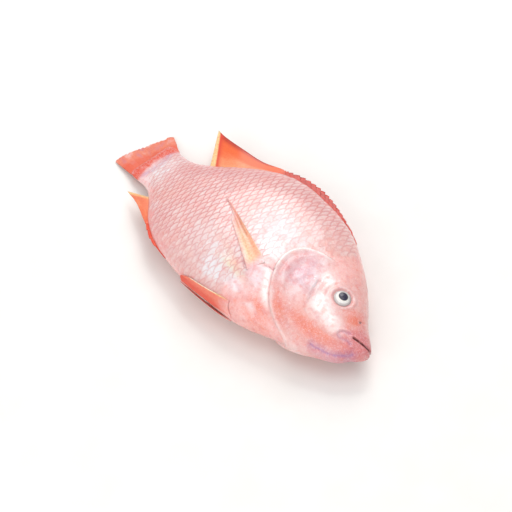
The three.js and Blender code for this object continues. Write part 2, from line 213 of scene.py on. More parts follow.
# ---------------------------------------------------------------------------------------------
# Body shape
# ---------------------------------------------------------------------------------------------
class Shape:
    """The body as functions of the distance behind the snout, in millimetres."""

    def __init__(self, body):
        self.length, self.depth, self.thickness = body.length / MM, body.depth / MM, body.thickness / MM
        self.sink, self.droop, self.droop_start = body.sink / MM, body.tail_droop / MM, body.droop_start / MM
        self.outline = [reader(points) for points in (BACK, BELLY, FLANK, WIDEST)]
        self.snout_x = SKIN_BOX[1].x / MM
        fine = np.linspace(0, self.length, 800)
        self.axis_y = SKIN_BOX[1].y / MM - self.back(fine).max()
        self.gill = reader(GILL_RIM)

    def back(self, s):
        return self.outline[0](s / self.length) * self.depth * self.rounding(s)

    def belly(self, s):
        return self.outline[1](s / self.length) * self.depth * self.rounding(s)

    def half(self, s):
        past = np.clip((s - self.length) / TAIL_SLEEVE, 0, 0.985)
        return self.outline[2](s / self.length) * self.thickness / 2 * np.sqrt(1 - past**2)

    def rounding(self, s):
        """The tail root's sleeve draws in over the fin's rays."""
        return 1 - 0.1 * np.clip((s - self.length) / TAIL_SLEEVE, 0, 1) ** 2

    def widest(self, s):
        return self.outline[3](s / self.length) * self.depth

    def middle(self, s):
        past = np.clip((s - self.droop_start) / (self.length - self.droop_start), 0, 1)
        return self.thickness / 2 - self.sink - self.droop * past**2

    def place(self, s, h, z):
        """Row frame coordinates, in millimetres."""
        return np.stack(np.broadcast_arrays(self.snout_x - s, h + self.axis_y, z), -1)

    def angle(self, s, h, underneath=False):
        """The angle round the section at which the flank reaches a level. 0 is the back."""
        widest = self.widest(s)
        reach = np.where(h >= widest, self.back(s) - widest, widest - self.belly(s))
        angle = np.arccos(np.clip((h - widest) / reach, -1, 1))
        return 2 * math.pi - angle if underneath else angle

    def section(self, s, angle):
        """Level and height of the smooth skin at an angle round the section."""
        widest = self.widest(s)
        reach = np.where(np.cos(angle) >= 0, self.back(s) - widest, widest - self.belly(s))
        return widest + reach * np.cos(angle), self.middle(s) + self.half(s) * np.sin(angle)

    def smooth(self, s, angle):
        return self.place(s, *self.section(s, angle))

    def normal(self, s, angle):
        here = self.smooth(s, angle)
        along = self.smooth(s + 1, angle) - here
        round_ = self.smooth(s, angle + 0.03) - here
        normal = np.cross(along, round_)
        return normal / np.linalg.norm(normal, axis=-1, keepdims=True)

    def gill_reach(self, s, h):
        """Distance outside the gill cover's rim, negative inside it, and how strongly the rim is formed."""
        turn = np.degrees(np.arctan2(h - GILL_CENTRE[1], s - GILL_CENTRE[0]))
        reach = np.hypot(s - GILL_CENTRE[0], h - GILL_CENTRE[1]) - self.gill(turn)
        formed = smoothstep(turn, -140, -112) * (1 - smoothstep(turn, 48, 74))
        return reach, formed

    def relief(self, s, h):
        """How far the sculpted skin stands out of the smooth one, in millimetres."""
        reach, formed = self.gill_reach(s, h)
        flap = np.where(reach < 0, 1.5 * smoothstep(reach, -17, 0), 0)
        lip = 0.55 * bell(reach + 1.3, 1.1)
        behind = np.where(reach >= 0, -0.5 * np.exp(-np.maximum(reach, 0) / 3.0), 0)
        rise = formed * (flap + lip + behind)
        rise += 0.5 * formed * bell(reach + 9, 2.6) * smoothstep(h, 10, -20)
        rise -= 0.3 * formed * bell(reach + 5.5, 1.2) * smoothstep(h, 12, -10)
        groove, upper = distance_to(s, h, PREOPERCLE), smoothstep(h, -30, -14)
        rise += (0.12 + 0.22 * upper) * (-bell(groove, 0.8) + 0.9 * bell(groove - 2.4, 1.2))
        orbit = np.hypot(s - EYE[0], h - EYE[1])
        rise += 0.5 * bell(orbit - 9.0, 1.2) - 0.2 * bell(orbit - 11.5, 1.2)
        rise -= 0.9 * (1 - smoothstep(orbit, 6.8, 7.9))
        rise += 0.2 * bell(orbit - 13.5, 1.2) * smoothstep(s, 42, 52)
        slit = distance_to(s, h, MOUTH)
        lips = (1 - smoothstep(s, 13, 21)) * smoothstep(s, 1, 4)
        rise += -2.4 * bell(slit, 0.55) + 0.5 * bell(slit - 2.2, 1.3) * lips
        fold = distance_to(s, h, LIP_FOLD)
        rise += -0.55 * bell(fold, 0.8) + 0.45 * bell(fold - 1.9, 1.1)
        jaw = distance_to(s, h, JAW_FOLD)
        rise += -0.3 * bell(jaw, 1.2) + 0.25 * bell(jaw - 2.6, 1.4)
        pit = np.hypot(s - NOSTRIL[0], h - NOSTRIL[1])
        rise += -1.2 * bell(pit, 0.7) + 0.2 * bell(pit - 1.6, 0.7)
        rise += 0.8 * blob(s, h, (48, -17), (10, 7), -60) + 0.6 * blob(s, h, (32, -14), (8, 6), 30)
        pad = blob(s, h, PECTORAL_PAD, (8, 7.5), 20)
        rise += 1.4 * pad**0.5 * smoothstep(pad, 0.05, 0.4)
        rise -= 0.6 * bell(distance_to(s, h, SHOULDER_CREASE), 0.8)
        rise -= 0.5 * bell(distance_to(s, h, PECTORAL_CREASE), 0.7)
        rise += 0.7 * blob(s, h, *MUSCLE)
        ridges = np.abs(np.sin((h - TAIL_RIDGE_START) * TAIL_RIDGES))
        return rise + 0.28 * (ridges - 0.5) * smoothstep(s, self.length - 5, self.length + 1)


def station_rings(length):
    """Distances behind the snout of the skin's rings, close on the head and at the lips."""
    lips = 8 * (np.arange(1, 17) / 16) ** 1.5
    head = np.linspace(8, 102, 156)[1:]
    trunk = np.linspace(102, length, 114)[1:]
    sleeve = length + TAIL_SLEEVE * np.sin(np.linspace(0, math.pi / 2, 8)[1:])
    return np.concatenate([lips, head, trunk, sleeve])


# ---------------------------------------------------------------------------------------------
# Colours
# ---------------------------------------------------------------------------------------------
def linear(colour):
    """A hex sRGB colour as linear red, green, blue and alpha."""
    parts = [int(colour[i : i + 2], 16) / 255 for i in (1, 3, 5)]
    return (*(c / 12.92 if c <= 0.04045 else ((c + 0.055) / 1.055) ** 2.4 for c in parts), 1.0)


def painted(base, layers):
    """Colour at each point: the layers' hex colours laid over the base, each with its mask."""
    shape = np.shape(layers[0][1])
    return painted_over(np.broadcast_to(linear(base), (*shape, 4)), layers)


def painted_over(colour, layers):
    for paint, mask in layers:
        mask = np.clip(mask, 0, 1)[..., None]
        colour = colour * (1 - mask) + np.array(linear(paint)) * mask
    return colour


HEAD_SHADE = 0.09  # share by which the head's colours are darkened
FAINTEST_SCALE = 0.12  # how strongly a scale is drawn at least


def skin_colour(shape, s, h, points):
    """The fish's colouring: rose back, pale patches that are partly painted highlight, salmon belly and jaw,
    painted highlights on the cheek, gill rim and orbit, and painted shade in the folds, slits and nostrils.

    Its alpha says how strongly the scales are drawn there.
    """
    look = bpy.context.scene.tilapia_colours
    mottle = ripple(points, 9.0, 1)
    speck = ripple(points, 3.2, 2)
    cloud = ripple(points, 26.0, 3)
    slanted = points * np.array([0.35, 1.0, 1.0]) + np.array([0.0, 0.4, 0.0]) * points[:, :1]
    streak = ripple(slanted, 4.0, 7)
    reach, formed = shape.gill_reach(s, h)
    inside = formed * (1 - smoothstep(reach, -2, 0))
    back_share = (shape.back(s) - h) / shape.depth
    orbit = np.hypot(s - EYE[0], h - EYE[1])
    # Pale patches, partly painted highlight on the shoulder, flank top and tail root.
    pearl_and_highlight = patches(s, h, PEARL_AND_HIGHLIGHT_PATCHES)
    pearl_and_highlight = pearl_and_highlight + 0.6 * smoothstep(mottle, 0.0, 0.5) * blob(s, h, (90, -46), (16, 12))
    pearl_and_highlight = pearl_and_highlight * (1 + 0.45 * cloud + 0.35 * mottle) + 0.3 * smoothstep(mottle + cloud, 0.3, 1.0)
    # Painted highlights on the cheek and along its line.
    cheek = patches(s, h, CHEEK_HIGHLIGHTS) + 0.8 * bell(distance_to(s, h, CHEEK_HIGHLIGHT_LINE), 1.6)
    cheek = cheek * (1 + 0.25 * mottle) * smoothstep(orbit, 8, 11)
    salmon = blob(s, h, (68, -38), (13, 5), 35) * smoothstep(-reach, 0, 3) + patches(s, h, SALMON_PATCHES)
    salmon = salmon * (1 + 0.5 * mottle + 0.3 * speck)
    rose = (
        0.8 * (1 - smoothstep(back_share, 0.0, 0.28)) * smoothstep(s, 60, 130)
        + 0.5 * smoothstep(s, 140, 200) * (1 - smoothstep(s, 215, 235))
        + 0.25 * (1 - smoothstep(orbit, 8, 12))
        + 0.5 * blob(s, h, (84, -12), (9, 20), -8) * inside
        + patches(s, h, ROSE_PATCHES)
    )
    rose = rose * (1 + 0.4 * mottle + 0.4 * speck)
    jaw = distance_to(s, h, JAW_FOLD)
    lilac = 0.85 * bell(jaw, 0.7) + 0.35 * bell(jaw - 1.5, 1.6) + 0.4 * blob(s, h, PECTORAL_PAD, (8, 8))
    lilac += 0.2 * blob(s, h, (78, -4), (10, 12)) + 0.4 * bell(distance_to(s, h, LIP_FOLD), 1.4)
    lilac += 0.55 * bell(distance_to(s, h, TAIL_ROOT_LINE), 2.4)
    # The gill cover's white edge, brightened on its upper arc as a painted highlight.
    rim = formed * bell(reach + 1.0, 1.3) * (0.35 + 0.65 * smoothstep(h, -30, -14))
    strip = formed * bell(reach - 3.2, 2.8) * smoothstep(h, -48, -36) * (1 - smoothstep(h, -25, -18))
    strip *= smoothstep(reach, 0.6, 1.6)
    # Painted shade in the skin's folds: the gap under the gill cover's edge, the preopercle groove, and the
    # shoulder and pectoral creases.
    crease_shade = 0.3 * formed * bell(reach - 0.5, 0.6) * smoothstep(reach, -1, 0.5) * smoothstep(h, -35, -15)
    crease_shade += 0.3 * bell(distance_to(s, h, PREOPERCLE), 0.8) * smoothstep(h, -30, -16)
    crease_shade += 0.8 * bell(distance_to(s, h, SHOULDER_CREASE), 0.8)
    crease_shade += 0.6 * bell(distance_to(s, h, PECTORAL_CREASE), 0.7)
    # Painted shade: the mouth slit and the nostril pits are darkened with the mouth's dark red, and the slit
    # under the pectoral fin's edge gets a painted shadow.
    from_mouth = distance_to(s, h, MOUTH)
    slit = bell(from_mouth, 0.8) * (1 - smoothstep(s, 14, 17))
    lips = bell(from_mouth, 3.2) * (1 - smoothstep(s, 8, 18))
    pit = bell(np.hypot(s - NOSTRIL[0], h - NOSTRIL[1]), 0.85)
    slot = bell(distance_to(s, h, PECTORAL_SLIT), 0.8)
    ridge = smoothstep(s, 80, 96) * (1 - smoothstep(s, 178, 196))
    ridge *= smoothstep(h - shape.back(s) + speck, -3.8, -2.2)
    tail = smoothstep(s - 3.2 * np.cos(h / 11.5) + 1.2 * speck, shape.length - 5.5, shape.length - 1)
    pale_gill = inside * smoothstep(mottle + 0.5 * speck, 0.1, 0.7) * smoothstep(h, -40, -20)
    lilac_gill = inside * smoothstep(cloud - 0.5 * mottle, 0.1, 0.7) * smoothstep(h, -30, -10)
    colour = painted(
        look.flesh,
        [
            (look.rose, rose),
            (look.salmon, salmon),
            (look.pearl_and_highlight, pearl_and_highlight),
            (look.white, cheek),
            (look.gold, 0.6 * blob(s, h, (116, -39), (12, 3.2), 2)),
            (look.amber, 0.5 * blob(s, h, (122, -34), (20, 3), 20)),
            (look.lilac, lilac),
            (look.pearl_and_highlight, 0.8 * blob(s, h, (97, -33), (6, 5.5)) * smoothstep(reach, 3, 6)),
            (look.salmon, 0.35 * smoothstep(speck, 0.15, 0.7)),
            (look.pearl_and_highlight, 0.5 * pale_gill),
            (look.lilac, 0.25 * lilac_gill),
            # Rose streaks, fainter under the shoulder's painted highlight.
            (look.rose, 0.3 * smoothstep(streak, 0.1, 0.6) * (1 - 0.6 * blob(s, h, *SHOULDER))),
            (look.rose, 0.7 * lips),
            # White gill rim and strip, and a painted highlight ring round the orbit.
            (look.white, 0.95 * rim + 1.0 * strip + 0.3 * bell(orbit - 8.6, 1.0)),
            (look.crease_shade, crease_shade),
            # Painted shade in the mouth slit and nostrils, and a painted shadow in the pectoral slit.
            (look.mouth, slit + pit + 0.55 * slot),
            (look.coral, tail),
            (look.scarlet, 0.9 * ridge),
        ],
    )
    head = np.clip(inside + 1 - smoothstep(s, 40, 60), 0, 1)
    colour[..., :3] *= 1 - HEAD_SHADE * head[..., None]
    drawn = 1 - patches(s, h, FAINT_SCALE_PATCHES) - 0.5 * smoothstep(-h, 40, 58)
    colour[..., 3] = np.clip(drawn, FAINTEST_SCALE, 1)
    return colour


# ---------------------------------------------------------------------------------------------
# Meshes
# ---------------------------------------------------------------------------------------------
def mesh_object(name, points, faces, material=None):
    """An object with its place in its mesh. Points are in millimetres."""
    mesh = bpy.data.meshes.new(name)
    mesh.from_pydata((np.asarray(points) * MM).tolist(), [], faces)
    mesh.update()
    made = bpy.data.objects.new(name, mesh)
    bpy.context.scene.collection.objects.link(made)
    if material:
        mesh.materials.append(material)
    mesh.polygons.foreach_set("use_smooth", [True] * len(mesh.polygons))
    return made


def ring_faces(rings, around):
    """Faces over rings of points that close in one point at each pole."""

    def at(ring, k):
        return 1 + ring * around + k % around

    last = rings - 1
    faces = [(0, at(0, k), at(0, k + 1)) for k in range(around)]
    for ring in range(last):
        faces += [(at(ring, k), at(ring + 1, k), at(ring + 1, k + 1), at(ring, k + 1)) for k in range(around)]
    return faces + [(at(last, k), 1 + rings * around, at(last, k + 1)) for k in range(around)]


def store(mesh, name, kind, values):
    """Writes an attribute on the mesh's points."""
    layer = mesh.attributes.get(name) or mesh.attributes.new(name, kind, "POINT")
    key = {"FLOAT": "value", "FLOAT_VECTOR": "vector", "FLOAT_COLOR": "color"}[kind]
    layer.data.foreach_set(key, np.asarray(values, np.float32).ravel())


def read(mesh, name, width):
    key = {1: "value", 3: "vector", 4: "color"}[width]
    values = np.zeros(len(mesh.attributes[name].data) * width, np.float32)
    mesh.attributes[name].data.foreach_get(key, values)
    return values.reshape(-1, width) if width > 1 else values


def points_of(mesh):
    """The mesh's points, in millimetres."""
    values = np.zeros(len(mesh.vertices) * 3, np.float32)
    mesh.vertices.foreach_get("co", values)
    return values.reshape(-1, 3).astype(float) / MM


def uv_layer(mesh, name, vertex_uv):
    """A UV map whose corners take the value of their point."""
    corners = np.zeros(len(mesh.loops), np.int32)
    mesh.loops.foreach_get("vertex_index", corners)
    layer = mesh.uv_layers.new(name=name)
    layer.data.foreach_set("uv", np.asarray(vertex_uv, np.float32)[corners].ravel())
    return layer


def finish_piece(piece, slot, *nodes):
    """Ties a finished piece to the frame."""
    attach(piece, "root")
    if nodes:
        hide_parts(*nodes)


# ---------------------------------------------------------------------------------------------
# Node trees
# ---------------------------------------------------------------------------------------------
def add_node(tree, kind, inputs=None, **settings):
    """Adds a node, applies its settings, and fills or links its inputs by name or number."""
    node = tree.nodes.new(kind)
    for name, value in settings.items():
        setattr(node, name, value)
    for key, value in (inputs or {}).items():
        if isinstance(value, bpy.types.NodeSocket):
            tree.links.new(value, node.inputs[key])
        else:
            node.inputs[key].default_value = value
    return node


def new_tree(name, sockets):
    """A geometry tree with named inputs, given as (name, socket type, default)."""
    tree = bpy.data.node_groups.new(name, "GeometryNodeTree")
    tree.interface.new_socket("Geometry", in_out="OUTPUT", socket_type="NodeSocketGeometry")
    tree.interface.new_socket("Geometry", in_out="INPUT", socket_type="NodeSocketGeometry")
    for label, kind, default in sockets:
        socket = tree.interface.new_socket(label, in_out="INPUT", socket_type=kind)
        if default is not None:
            socket.default_value = default
    return tree, add_node(tree, "NodeGroupInput").outputs


def grown(name, tree, values):
    """Runs a geometry tree on an empty mesh and returns its result as a plain mesh object."""
    made = mesh_object(name, np.zeros((0, 3)), [])
    modifier = made.modifiers.new("Grow", "NODES")
    modifier.node_group = tree
    for item in tree.interface.items_tree:
        if item.in_out == "INPUT" and item.name in values:
            modifier[item.identifier] = values[item.name]
    graph = bpy.context.evaluated_depsgraph_get()
    result = made.evaluated_get(graph)
    mesh = bpy.data.meshes.new_from_object(result, preserve_all_data_layers=True, depsgraph=graph)
    made.modifiers.clear()
    made.data = mesh
    mesh.name = name
    return made


def calculate(tree, operation, first, second=0.0):
    return add_node(tree, "ShaderNodeMath", {0: first, 1: second}, operation=operation).outputs[0]


def sums(tree):
    """Makers of a tree's sum nodes: plus, less, times and over."""

    def maker(operation):
        return lambda first, second: calculate(tree, operation, first, second)

    return [maker(operation) for operation in ("ADD", "SUBTRACT", "MULTIPLY", "DIVIDE")]


def surface_reader(tree, surface, uv_name, flat):
    """Returns a function that reads an attribute of a surface at a place in its UV map."""

    def named(name, kind):
        return add_node(tree, "GeometryNodeInputNamedAttribute", {"Name": name}, data_type=kind).outputs[0]

    uv = named(uv_name, "FLOAT_VECTOR")

    def sample(name, kind):
        value = named(name, kind)
        inputs = {"Mesh": surface, "Value": value, "Source UV Map": uv, "Sample UV": flat}
        return add_node(tree, "GeometryNodeSampleUVSurface", inputs, data_type=kind).outputs["Value"]

    return sample


def keep(tree, geometry, name, kind, value, domain="POINT"):
    inputs = {"Geometry": geometry, "Name": name, "Value": value}
    return add_node(tree, "GeometryNodeStoreNamedAttribute", inputs, data_type=kind, domain=domain).outputs[0]


def closed(tree, geometry, material):
    """Gives the geometry its material and ends the tree."""
    inputs = {"Geometry": geometry, "Material": material}
    add_node(tree, "NodeGroupOutput", {0: add_node(tree, "GeometryNodeSetMaterial", inputs).outputs[0]})
    return tree


# Scales that the skin's scale map holds along and across, and those it leaves free in front.
MAP_COLUMNS, MAP_ROWS, MAP_START = 64.0, 104.0, 12.0


def scale_tree(material):
    """Lays staggered rows of one scale over the skin's scale map and wraps them onto both flanks.

    Known fault: along the ridge of the back some scales have corners that find no place on the map.
    """
    tree, given = new_tree(
        "Scale coat",
        [
            ("Skin", "NodeSocketObject", None),
            ("Scale Shape", "NodeSocketObject", None),
            ("Columns", "NodeSocketInt", 46),
            ("Rows", "NodeSocketInt", 44),
            ("Size Spread", "NodeSocketFloat", 0.1),
            ("Seed", "NodeSocketInt", 5),
        ],
    )
    plus, less, times, over = sums(tree)
    index = add_node(tree, "GeometryNodeInputIndex").outputs[0]
    both = times(given["Rows"], 2.0)
    column = calculate(tree, "FLOOR", over(index, both))
    in_column = calculate(tree, "FLOORED_MODULO", index, both)
    side = calculate(tree, "FLOOR", over(in_column, given["Rows"]))
    row = calculate(tree, "FLOORED_MODULO", in_column, given["Rows"])
    stagger = times(calculate(tree, "FLOORED_MODULO", row, 2.0), 0.5)
    along = over(plus(plus(column, stagger), MAP_START), MAP_COLUMNS)
    middle_row = over(given["Rows"], 2.0)
    across = over(less(row, middle_row), MAP_ROWS)
    across = plus(plus(across, times(side, 0.5)), 0.25)
    flat = add_node(tree, "ShaderNodeCombineXYZ", {0: along, 1: across}).outputs[0]
    count = times(both, given["Columns"])
    seats = add_node(tree, "GeometryNodePoints", {"Count": count, "Position": flat}).outputs[0]

    skin = add_node(tree, "GeometryNodeObjectInfo", {"Object": given["Skin"]}).outputs["Geometry"]
    shape = add_node(tree, "GeometryNodeObjectInfo", {"Object": given["Scale Shape"]}).outputs["Geometry"]
    place = add_node(tree, "GeometryNodeInputPosition").outputs[0]
    scaled = surface_reader(tree, skin, "scale_map", place)("scaled", "FLOAT")
    bare = calculate(tree, "LESS_THAN", scaled, 0.3)
    seats = add_node(tree, "GeometryNodeDeleteGeometry", {"Geometry": seats, "Selection": bare}).outputs[0]

    def chance(low, high, shift):
        inputs = {"Min": low, "Max": high, "Seed": plus(given["Seed"], float(shift))}
        return add_node(tree, "FunctionNodeRandomValue", inputs, data_type="FLOAT").outputs[1]

    spread = chance(-1.0, 1.0, 0)
    size = plus(times(spread, given["Size Spread"]), 1.0)
    size = times(size, plus(times(scaled, 0.3), 0.7))
    wide = over(size, MAP_COLUMNS)
    high = over(size, MAP_ROWS)
    deep = times(scaled, plus(chance(-0.2, 0.2, 1), 1.0))
    stretch = add_node(tree, "ShaderNodeCombineXYZ", {0: wide, 1: high, 2: deep}).outputs[0]
    inputs = {"Points": seats, "Instance": shape, "Scale": stretch}
    scales = add_node(tree, "GeometryNodeInstanceOnPoints", inputs).outputs[0]
    scales = keep(tree, scales, "tone", "FLOAT", chance(0.0, 1.0, 2), "INSTANCE")
    scales = add_node(tree, "GeometryNodeRealizeInstances", {"Geometry": scales}).outputs[0]

    split = add_node(tree, "ShaderNodeSeparateXYZ", {0: place}).outputs
    on_map = add_node(tree, "ShaderNodeCombineXYZ", {0: split[0], 1: split[1]}).outputs[0]
    sample = surface_reader(tree, skin, "scale_map", on_map)
    stands = {0: sample("outward", "FLOAT_VECTOR"), "Scale": split[2]}
    raised = add_node(tree, "ShaderNodeVectorMath", stands, operation="SCALE").outputs[0]
    places = {0: sample("place", "FLOAT_VECTOR"), 1: raised}
    landed = add_node(tree, "ShaderNodeVectorMath", places, operation="ADD").outputs[0]
    scales = keep(tree, scales, "station", "FLOAT_VECTOR", sample("station", "FLOAT_VECTOR"))
    scales = add_node(tree, "GeometryNodeSetPosition", {"Geometry": scales, "Position": landed}).outputs[0]
    return closed(tree, scales, material)


def ray_tree(material):
    """Grows a fan of tapering rays along the middle of a fin's membrane."""
    tree, given = new_tree(
        "Fin rays",
        [
            ("Membrane", "NodeSocketObject", None),
            ("Rays", "NodeSocketInt", 16),
            ("First", "NodeSocketFloat", 0.02),
            ("Last", "NodeSocketFloat", 0.98),
            ("Root", "NodeSocketFloat", 0.0),
            ("Tip", "NodeSocketFloat", 1.0),
            ("Root Radius", "NodeSocketFloat", 0.0006),
            ("Tip Radius", "NodeSocketFloat", 0.0002),
            ("Steps", "NodeSocketInt", 24),
            ("Tip Spread", "NodeSocketFloat", 0.03),
            ("Seed", "NodeSocketInt", 3),
        ],
    )
    plus, less, times, over = sums(tree)
    index = add_node(tree, "GeometryNodeInputIndex").outputs[0]
    share = over(index, less(given["Rays"], 1.0))
    width = less(given["Last"], given["First"])
    across = plus(times(share, width), given["First"])
    seat = add_node(tree, "ShaderNodeCombineXYZ", {0: across}).outputs[0]
    roots = add_node(tree, "GeometryNodePoints", {"Count": given["Rays"], "Position": seat}).outputs[0]
    start = add_node(tree, "ShaderNodeCombineXYZ", {1: given["Root"]}).outputs[0]
    end = add_node(tree, "ShaderNodeCombineXYZ", {1: given["Tip"]}).outputs[0]
    line = add_node(tree, "GeometryNodeCurvePrimitiveLine", {"Start": start, "End": end}).outputs[0]
    line = add_node(tree, "GeometryNodeResampleCurve", {"Curve": line, "Count": given["Steps"]}).outputs[0]
    inputs = {"Min": -1.0, "Max": 0.0, "Seed": given["Seed"]}
    spread = add_node(tree, "FunctionNodeRandomValue", inputs, data_type="FLOAT").outputs[1]
    reach = plus(times(spread, given["Tip Spread"]), 1.0)
    stretch = add_node(tree, "ShaderNodeCombineXYZ", {0: 1.0, 1: reach, 2: 1.0}).outputs[0]
    inputs = {"Points": roots, "Instance": line, "Scale": stretch}
    rays = add_node(tree, "GeometryNodeInstanceOnPoints", inputs).outputs[0]
    rays = add_node(tree, "GeometryNodeRealizeInstances", {"Geometry": rays}).outputs[0]
    place = add_node(tree, "GeometryNodeInputPosition").outputs[0]
    membrane = add_node(tree, "GeometryNodeObjectInfo", {"Object": given["Membrane"]}).outputs["Geometry"]
    sample = surface_reader(tree, membrane, "fin_map", place)
    rays = keep(tree, rays, "fin_place", "FLOAT_VECTOR", place)
    middle = sample("middle", "FLOAT_VECTOR")
    rays = add_node(tree, "GeometryNodeSetPosition", {"Geometry": rays, "Position": middle}).outputs[0]
    along = add_node(tree, "GeometryNodeSplineParameter").outputs["Factor"]
    thinner = less(given["Tip Radius"], given["Root Radius"])
    radius = plus(times(along, thinner), given["Root Radius"])
    rays = add_node(tree, "GeometryNodeSetCurveRadius", {"Curve": rays, "Radius": radius}).outputs[0]
    ring = add_node(tree, "GeometryNodeCurvePrimitiveCircle", {"Resolution": 6, "Radius": 1.0}).outputs[0]
    inputs = {"Curve": rays, "Profile Curve": ring, "Fill Caps": True}
    tube = add_node(tree, "GeometryNodeCurveToMesh", inputs)
    if "Scale" in tube.inputs:
        tree.links.new(add_node(tree, "GeometryNodeInputRadius").outputs[0], tube.inputs["Scale"])
    tubes = add_node(tree, "GeometryNodeRealizeInstances", {"Geometry": tube.outputs[0]}).outputs[0]
    return closed(tree, tubes, material)


# ---------------------------------------------------------------------------------------------
# Materials
# ---------------------------------------------------------------------------------------------
FLESH_IOR = 1.42  # how strongly wet flesh bends light


def blank_material(name):
    material = bpy.data.materials.new(name)
    material.use_nodes = True
    material.node_tree.nodes.clear()
    return material, material.node_tree


def finish_material(material, inputs):
    """Ends a material in one surface shader with these inputs."""
    tree = material.node_tree
    shader = add_node(tree, "ShaderNodeBsdfPrincipled", inputs)
    add_node(tree, "ShaderNodeOutputMaterial", {0: shader.outputs[0]})
    return material


def mixed(tree, amount, first, second):
    """A mix of two colours or sockets."""
    inputs = {0: amount, 6: first, 7: second}
    return add_node(tree, "ShaderNodeMix", inputs, data_type="RGBA").outputs[2]


def bumped(tree, height, strength, depth_mm):
    """The surface's direction, roughened by a height of a real size."""
    inputs = {"Strength": strength, "Distance": depth_mm * MM, "Height": height}
    return add_node(tree, "ShaderNodeBump", inputs).outputs[0]


def grain(tree, size_mm, detail=3.0):
    """Noise with features of a real size, read at the object's own coordinates."""
    place = add_node(tree, "ShaderNodeTexCoord").outputs["Object"]
    inputs = {"Vector": place, "Scale": 1 / (size_mm * MM), "Detail": detail}
    return add_node(tree, "ShaderNodeTexNoise", inputs).outputs["Fac"]


def ranged(tree, value, low, high, to_low, to_high):
    inputs = {0: value, 1: low, 2: high, 3: to_low, 4: to_high}
    return add_node(tree, "ShaderNodeMapRange", inputs).outputs[0]


def wet_skin(name, has_scales):
    """Wet fish skin, grown over flesh: light scatters pink below it and its slime film shines like a coat."""
    material, tree = blank_material(name)
    given = add_node(tree, "ShaderNodeAttribute", attribute_name="tint").outputs
    fine, coarse, wrinkle = grain(tree, 0.9), grain(tree, 3.5), grain(tree, 2.2, 2.0)
    colour = mixed(tree, ranged(tree, coarse, 0.5, 0.7, 0.0, 0.4), given["Color"], linear("#E0807C"))
    colour = mixed(tree, ranged(tree, wrinkle, 0.5, 0.75, 0.0, 0.2), colour, linear("#F6E2E8"))
    colour = mixed(tree, ranged(tree, fine, 0.5, 0.75, 0.0, 0.3), colour, linear("#FBEFEF"))
    if has_scales:
        edge = add_node(tree, "ShaderNodeAttribute", attribute_name="edge").outputs["Fac"]
        tone = add_node(tree, "ShaderNodeAttribute", attribute_name="tone").outputs["Fac"]
        drawn = given["Alpha"]
        colour = mixed(tree, ranged(tree, tone, 0.4, 1.0, 0.0, 0.18), colour, linear("#FFF1EC"))
        colour = mixed(tree, ranged(tree, tone, 0.4, 0.0, 0.0, 0.3), colour, linear("#F29A90"))
        # A pale band inside each scale's rim: the scale's own pale colour, laid stronger as a painted
        # highlight.
        pearly_highlight = calculate(tree, "MULTIPLY", ranged(tree, edge, 0.5, 0.8, 0.0, 0.3), drawn)
        colour = mixed(tree, pearly_highlight, colour, linear("#FFF4F0"))
        # Each scale's rose rear margin, darkened as painted shade along its raised edge.
        rim = calculate(tree, "MULTIPLY", ranged(tree, edge, 0.8, 0.95, 0.0, 0.85), drawn)
        colour = mixed(tree, rim, colour, linear("#E0807E"))
    rough = ranged(tree, coarse, 0.3, 0.7, 0.26, 0.42)
    height = calculate(tree, "ADD", fine, calculate(tree, "MULTIPLY", wrinkle, 2.2))
    inputs = {
        "Base Color": colour,
        "Roughness": rough,
        "IOR": FLESH_IOR,
        "Subsurface Weight": 0.2,
        "Subsurface Radius": (1.0, 0.35, 0.25),
        "Subsurface Scale": 2.0 * MM,
        "Coat Weight": 0.6,
        "Coat Roughness": 0.12,
        "Normal": bumped(tree, height, 0.5, 0.35),
    }
    return finish_material(material, inputs)


def wet_fin(name, is_ray):
    """Fin membrane or its bony rays, grown thin and wet: both glow with the light behind them."""
    material, tree = blank_material(name)
    tint = add_node(tree, "ShaderNodeAttribute", attribute_name="tint").outputs["Color"]
    streak = grain(tree, 1.6)
    streak_colour = linear("#F7C9A6" if is_ray else "#E2502F")
    inputs = {
        "Base Color": mixed(tree, ranged(tree, streak, 0.4, 0.7, 0.0, 0.35), tint, streak_colour),
        "Roughness": 0.38,
        "IOR": FLESH_IOR,
        "Subsurface Weight": 0.25,
        "Subsurface Radius": (1.0, 0.4, 0.2),
        "Subsurface Scale": 1.5 * MM,
        "Coat Weight": 0.3,
        "Coat Roughness": 0.15,
        "Normal": bumped(tree, streak, 0.3, 0.2),
    }
    return finish_material(material, inputs)


def wet_eye(name):
    """A fish's eye under its clear wet cornea: sharp highlights over a silvery iris."""
    material, tree = blank_material(name)
    tint = add_node(tree, "ShaderNodeAttribute", attribute_name="tint").outputs["Color"]
    fleck = grain(tree, 0.5)
    colour = mixed(tree, ranged(tree, fleck, 0.5, 0.7, 0.0, 0.15), tint, linear("#B9A98E"))
    inputs = {"Base Color": colour, "Roughness": 0.3, "IOR": 1.38, "Coat Weight": 0.5, "Coat Roughness": 0.03}
    return finish_material(material, inputs)


def table_top(name):
    """Matt white laminate, seen as an even pale ground."""
    material, tree = blank_material(name)
    mottle = grain(tree, 40.0)
    colour = mixed(tree, ranged(tree, mottle, 0.3, 0.7, 0.0, 1.0), linear("#F4F2EF"), linear("#F0EEEA"))
    return finish_material(material, {"Base Color": colour, "Roughness": 0.7})


# ---------------------------------------------------------------------------------------------
# Skin and scales
# ---------------------------------------------------------------------------------------------
ROUND = 300  # points round each ring of the skin
FIRST_SCALE = 50.0  # distance behind the snout at which the scale map starts
SIZE_STATIONS = [0, 90, 150, 235, 260]  # distances behind the snout at which the scales' shares are given
PITCH_SHARES = [1.1, 1.05, 1.0, 0.76, 0.7]  # of the pitch
ROW_SHARES = [1.0, 1.0, 1.0, 0.78, 0.72]  # of the distance between rows


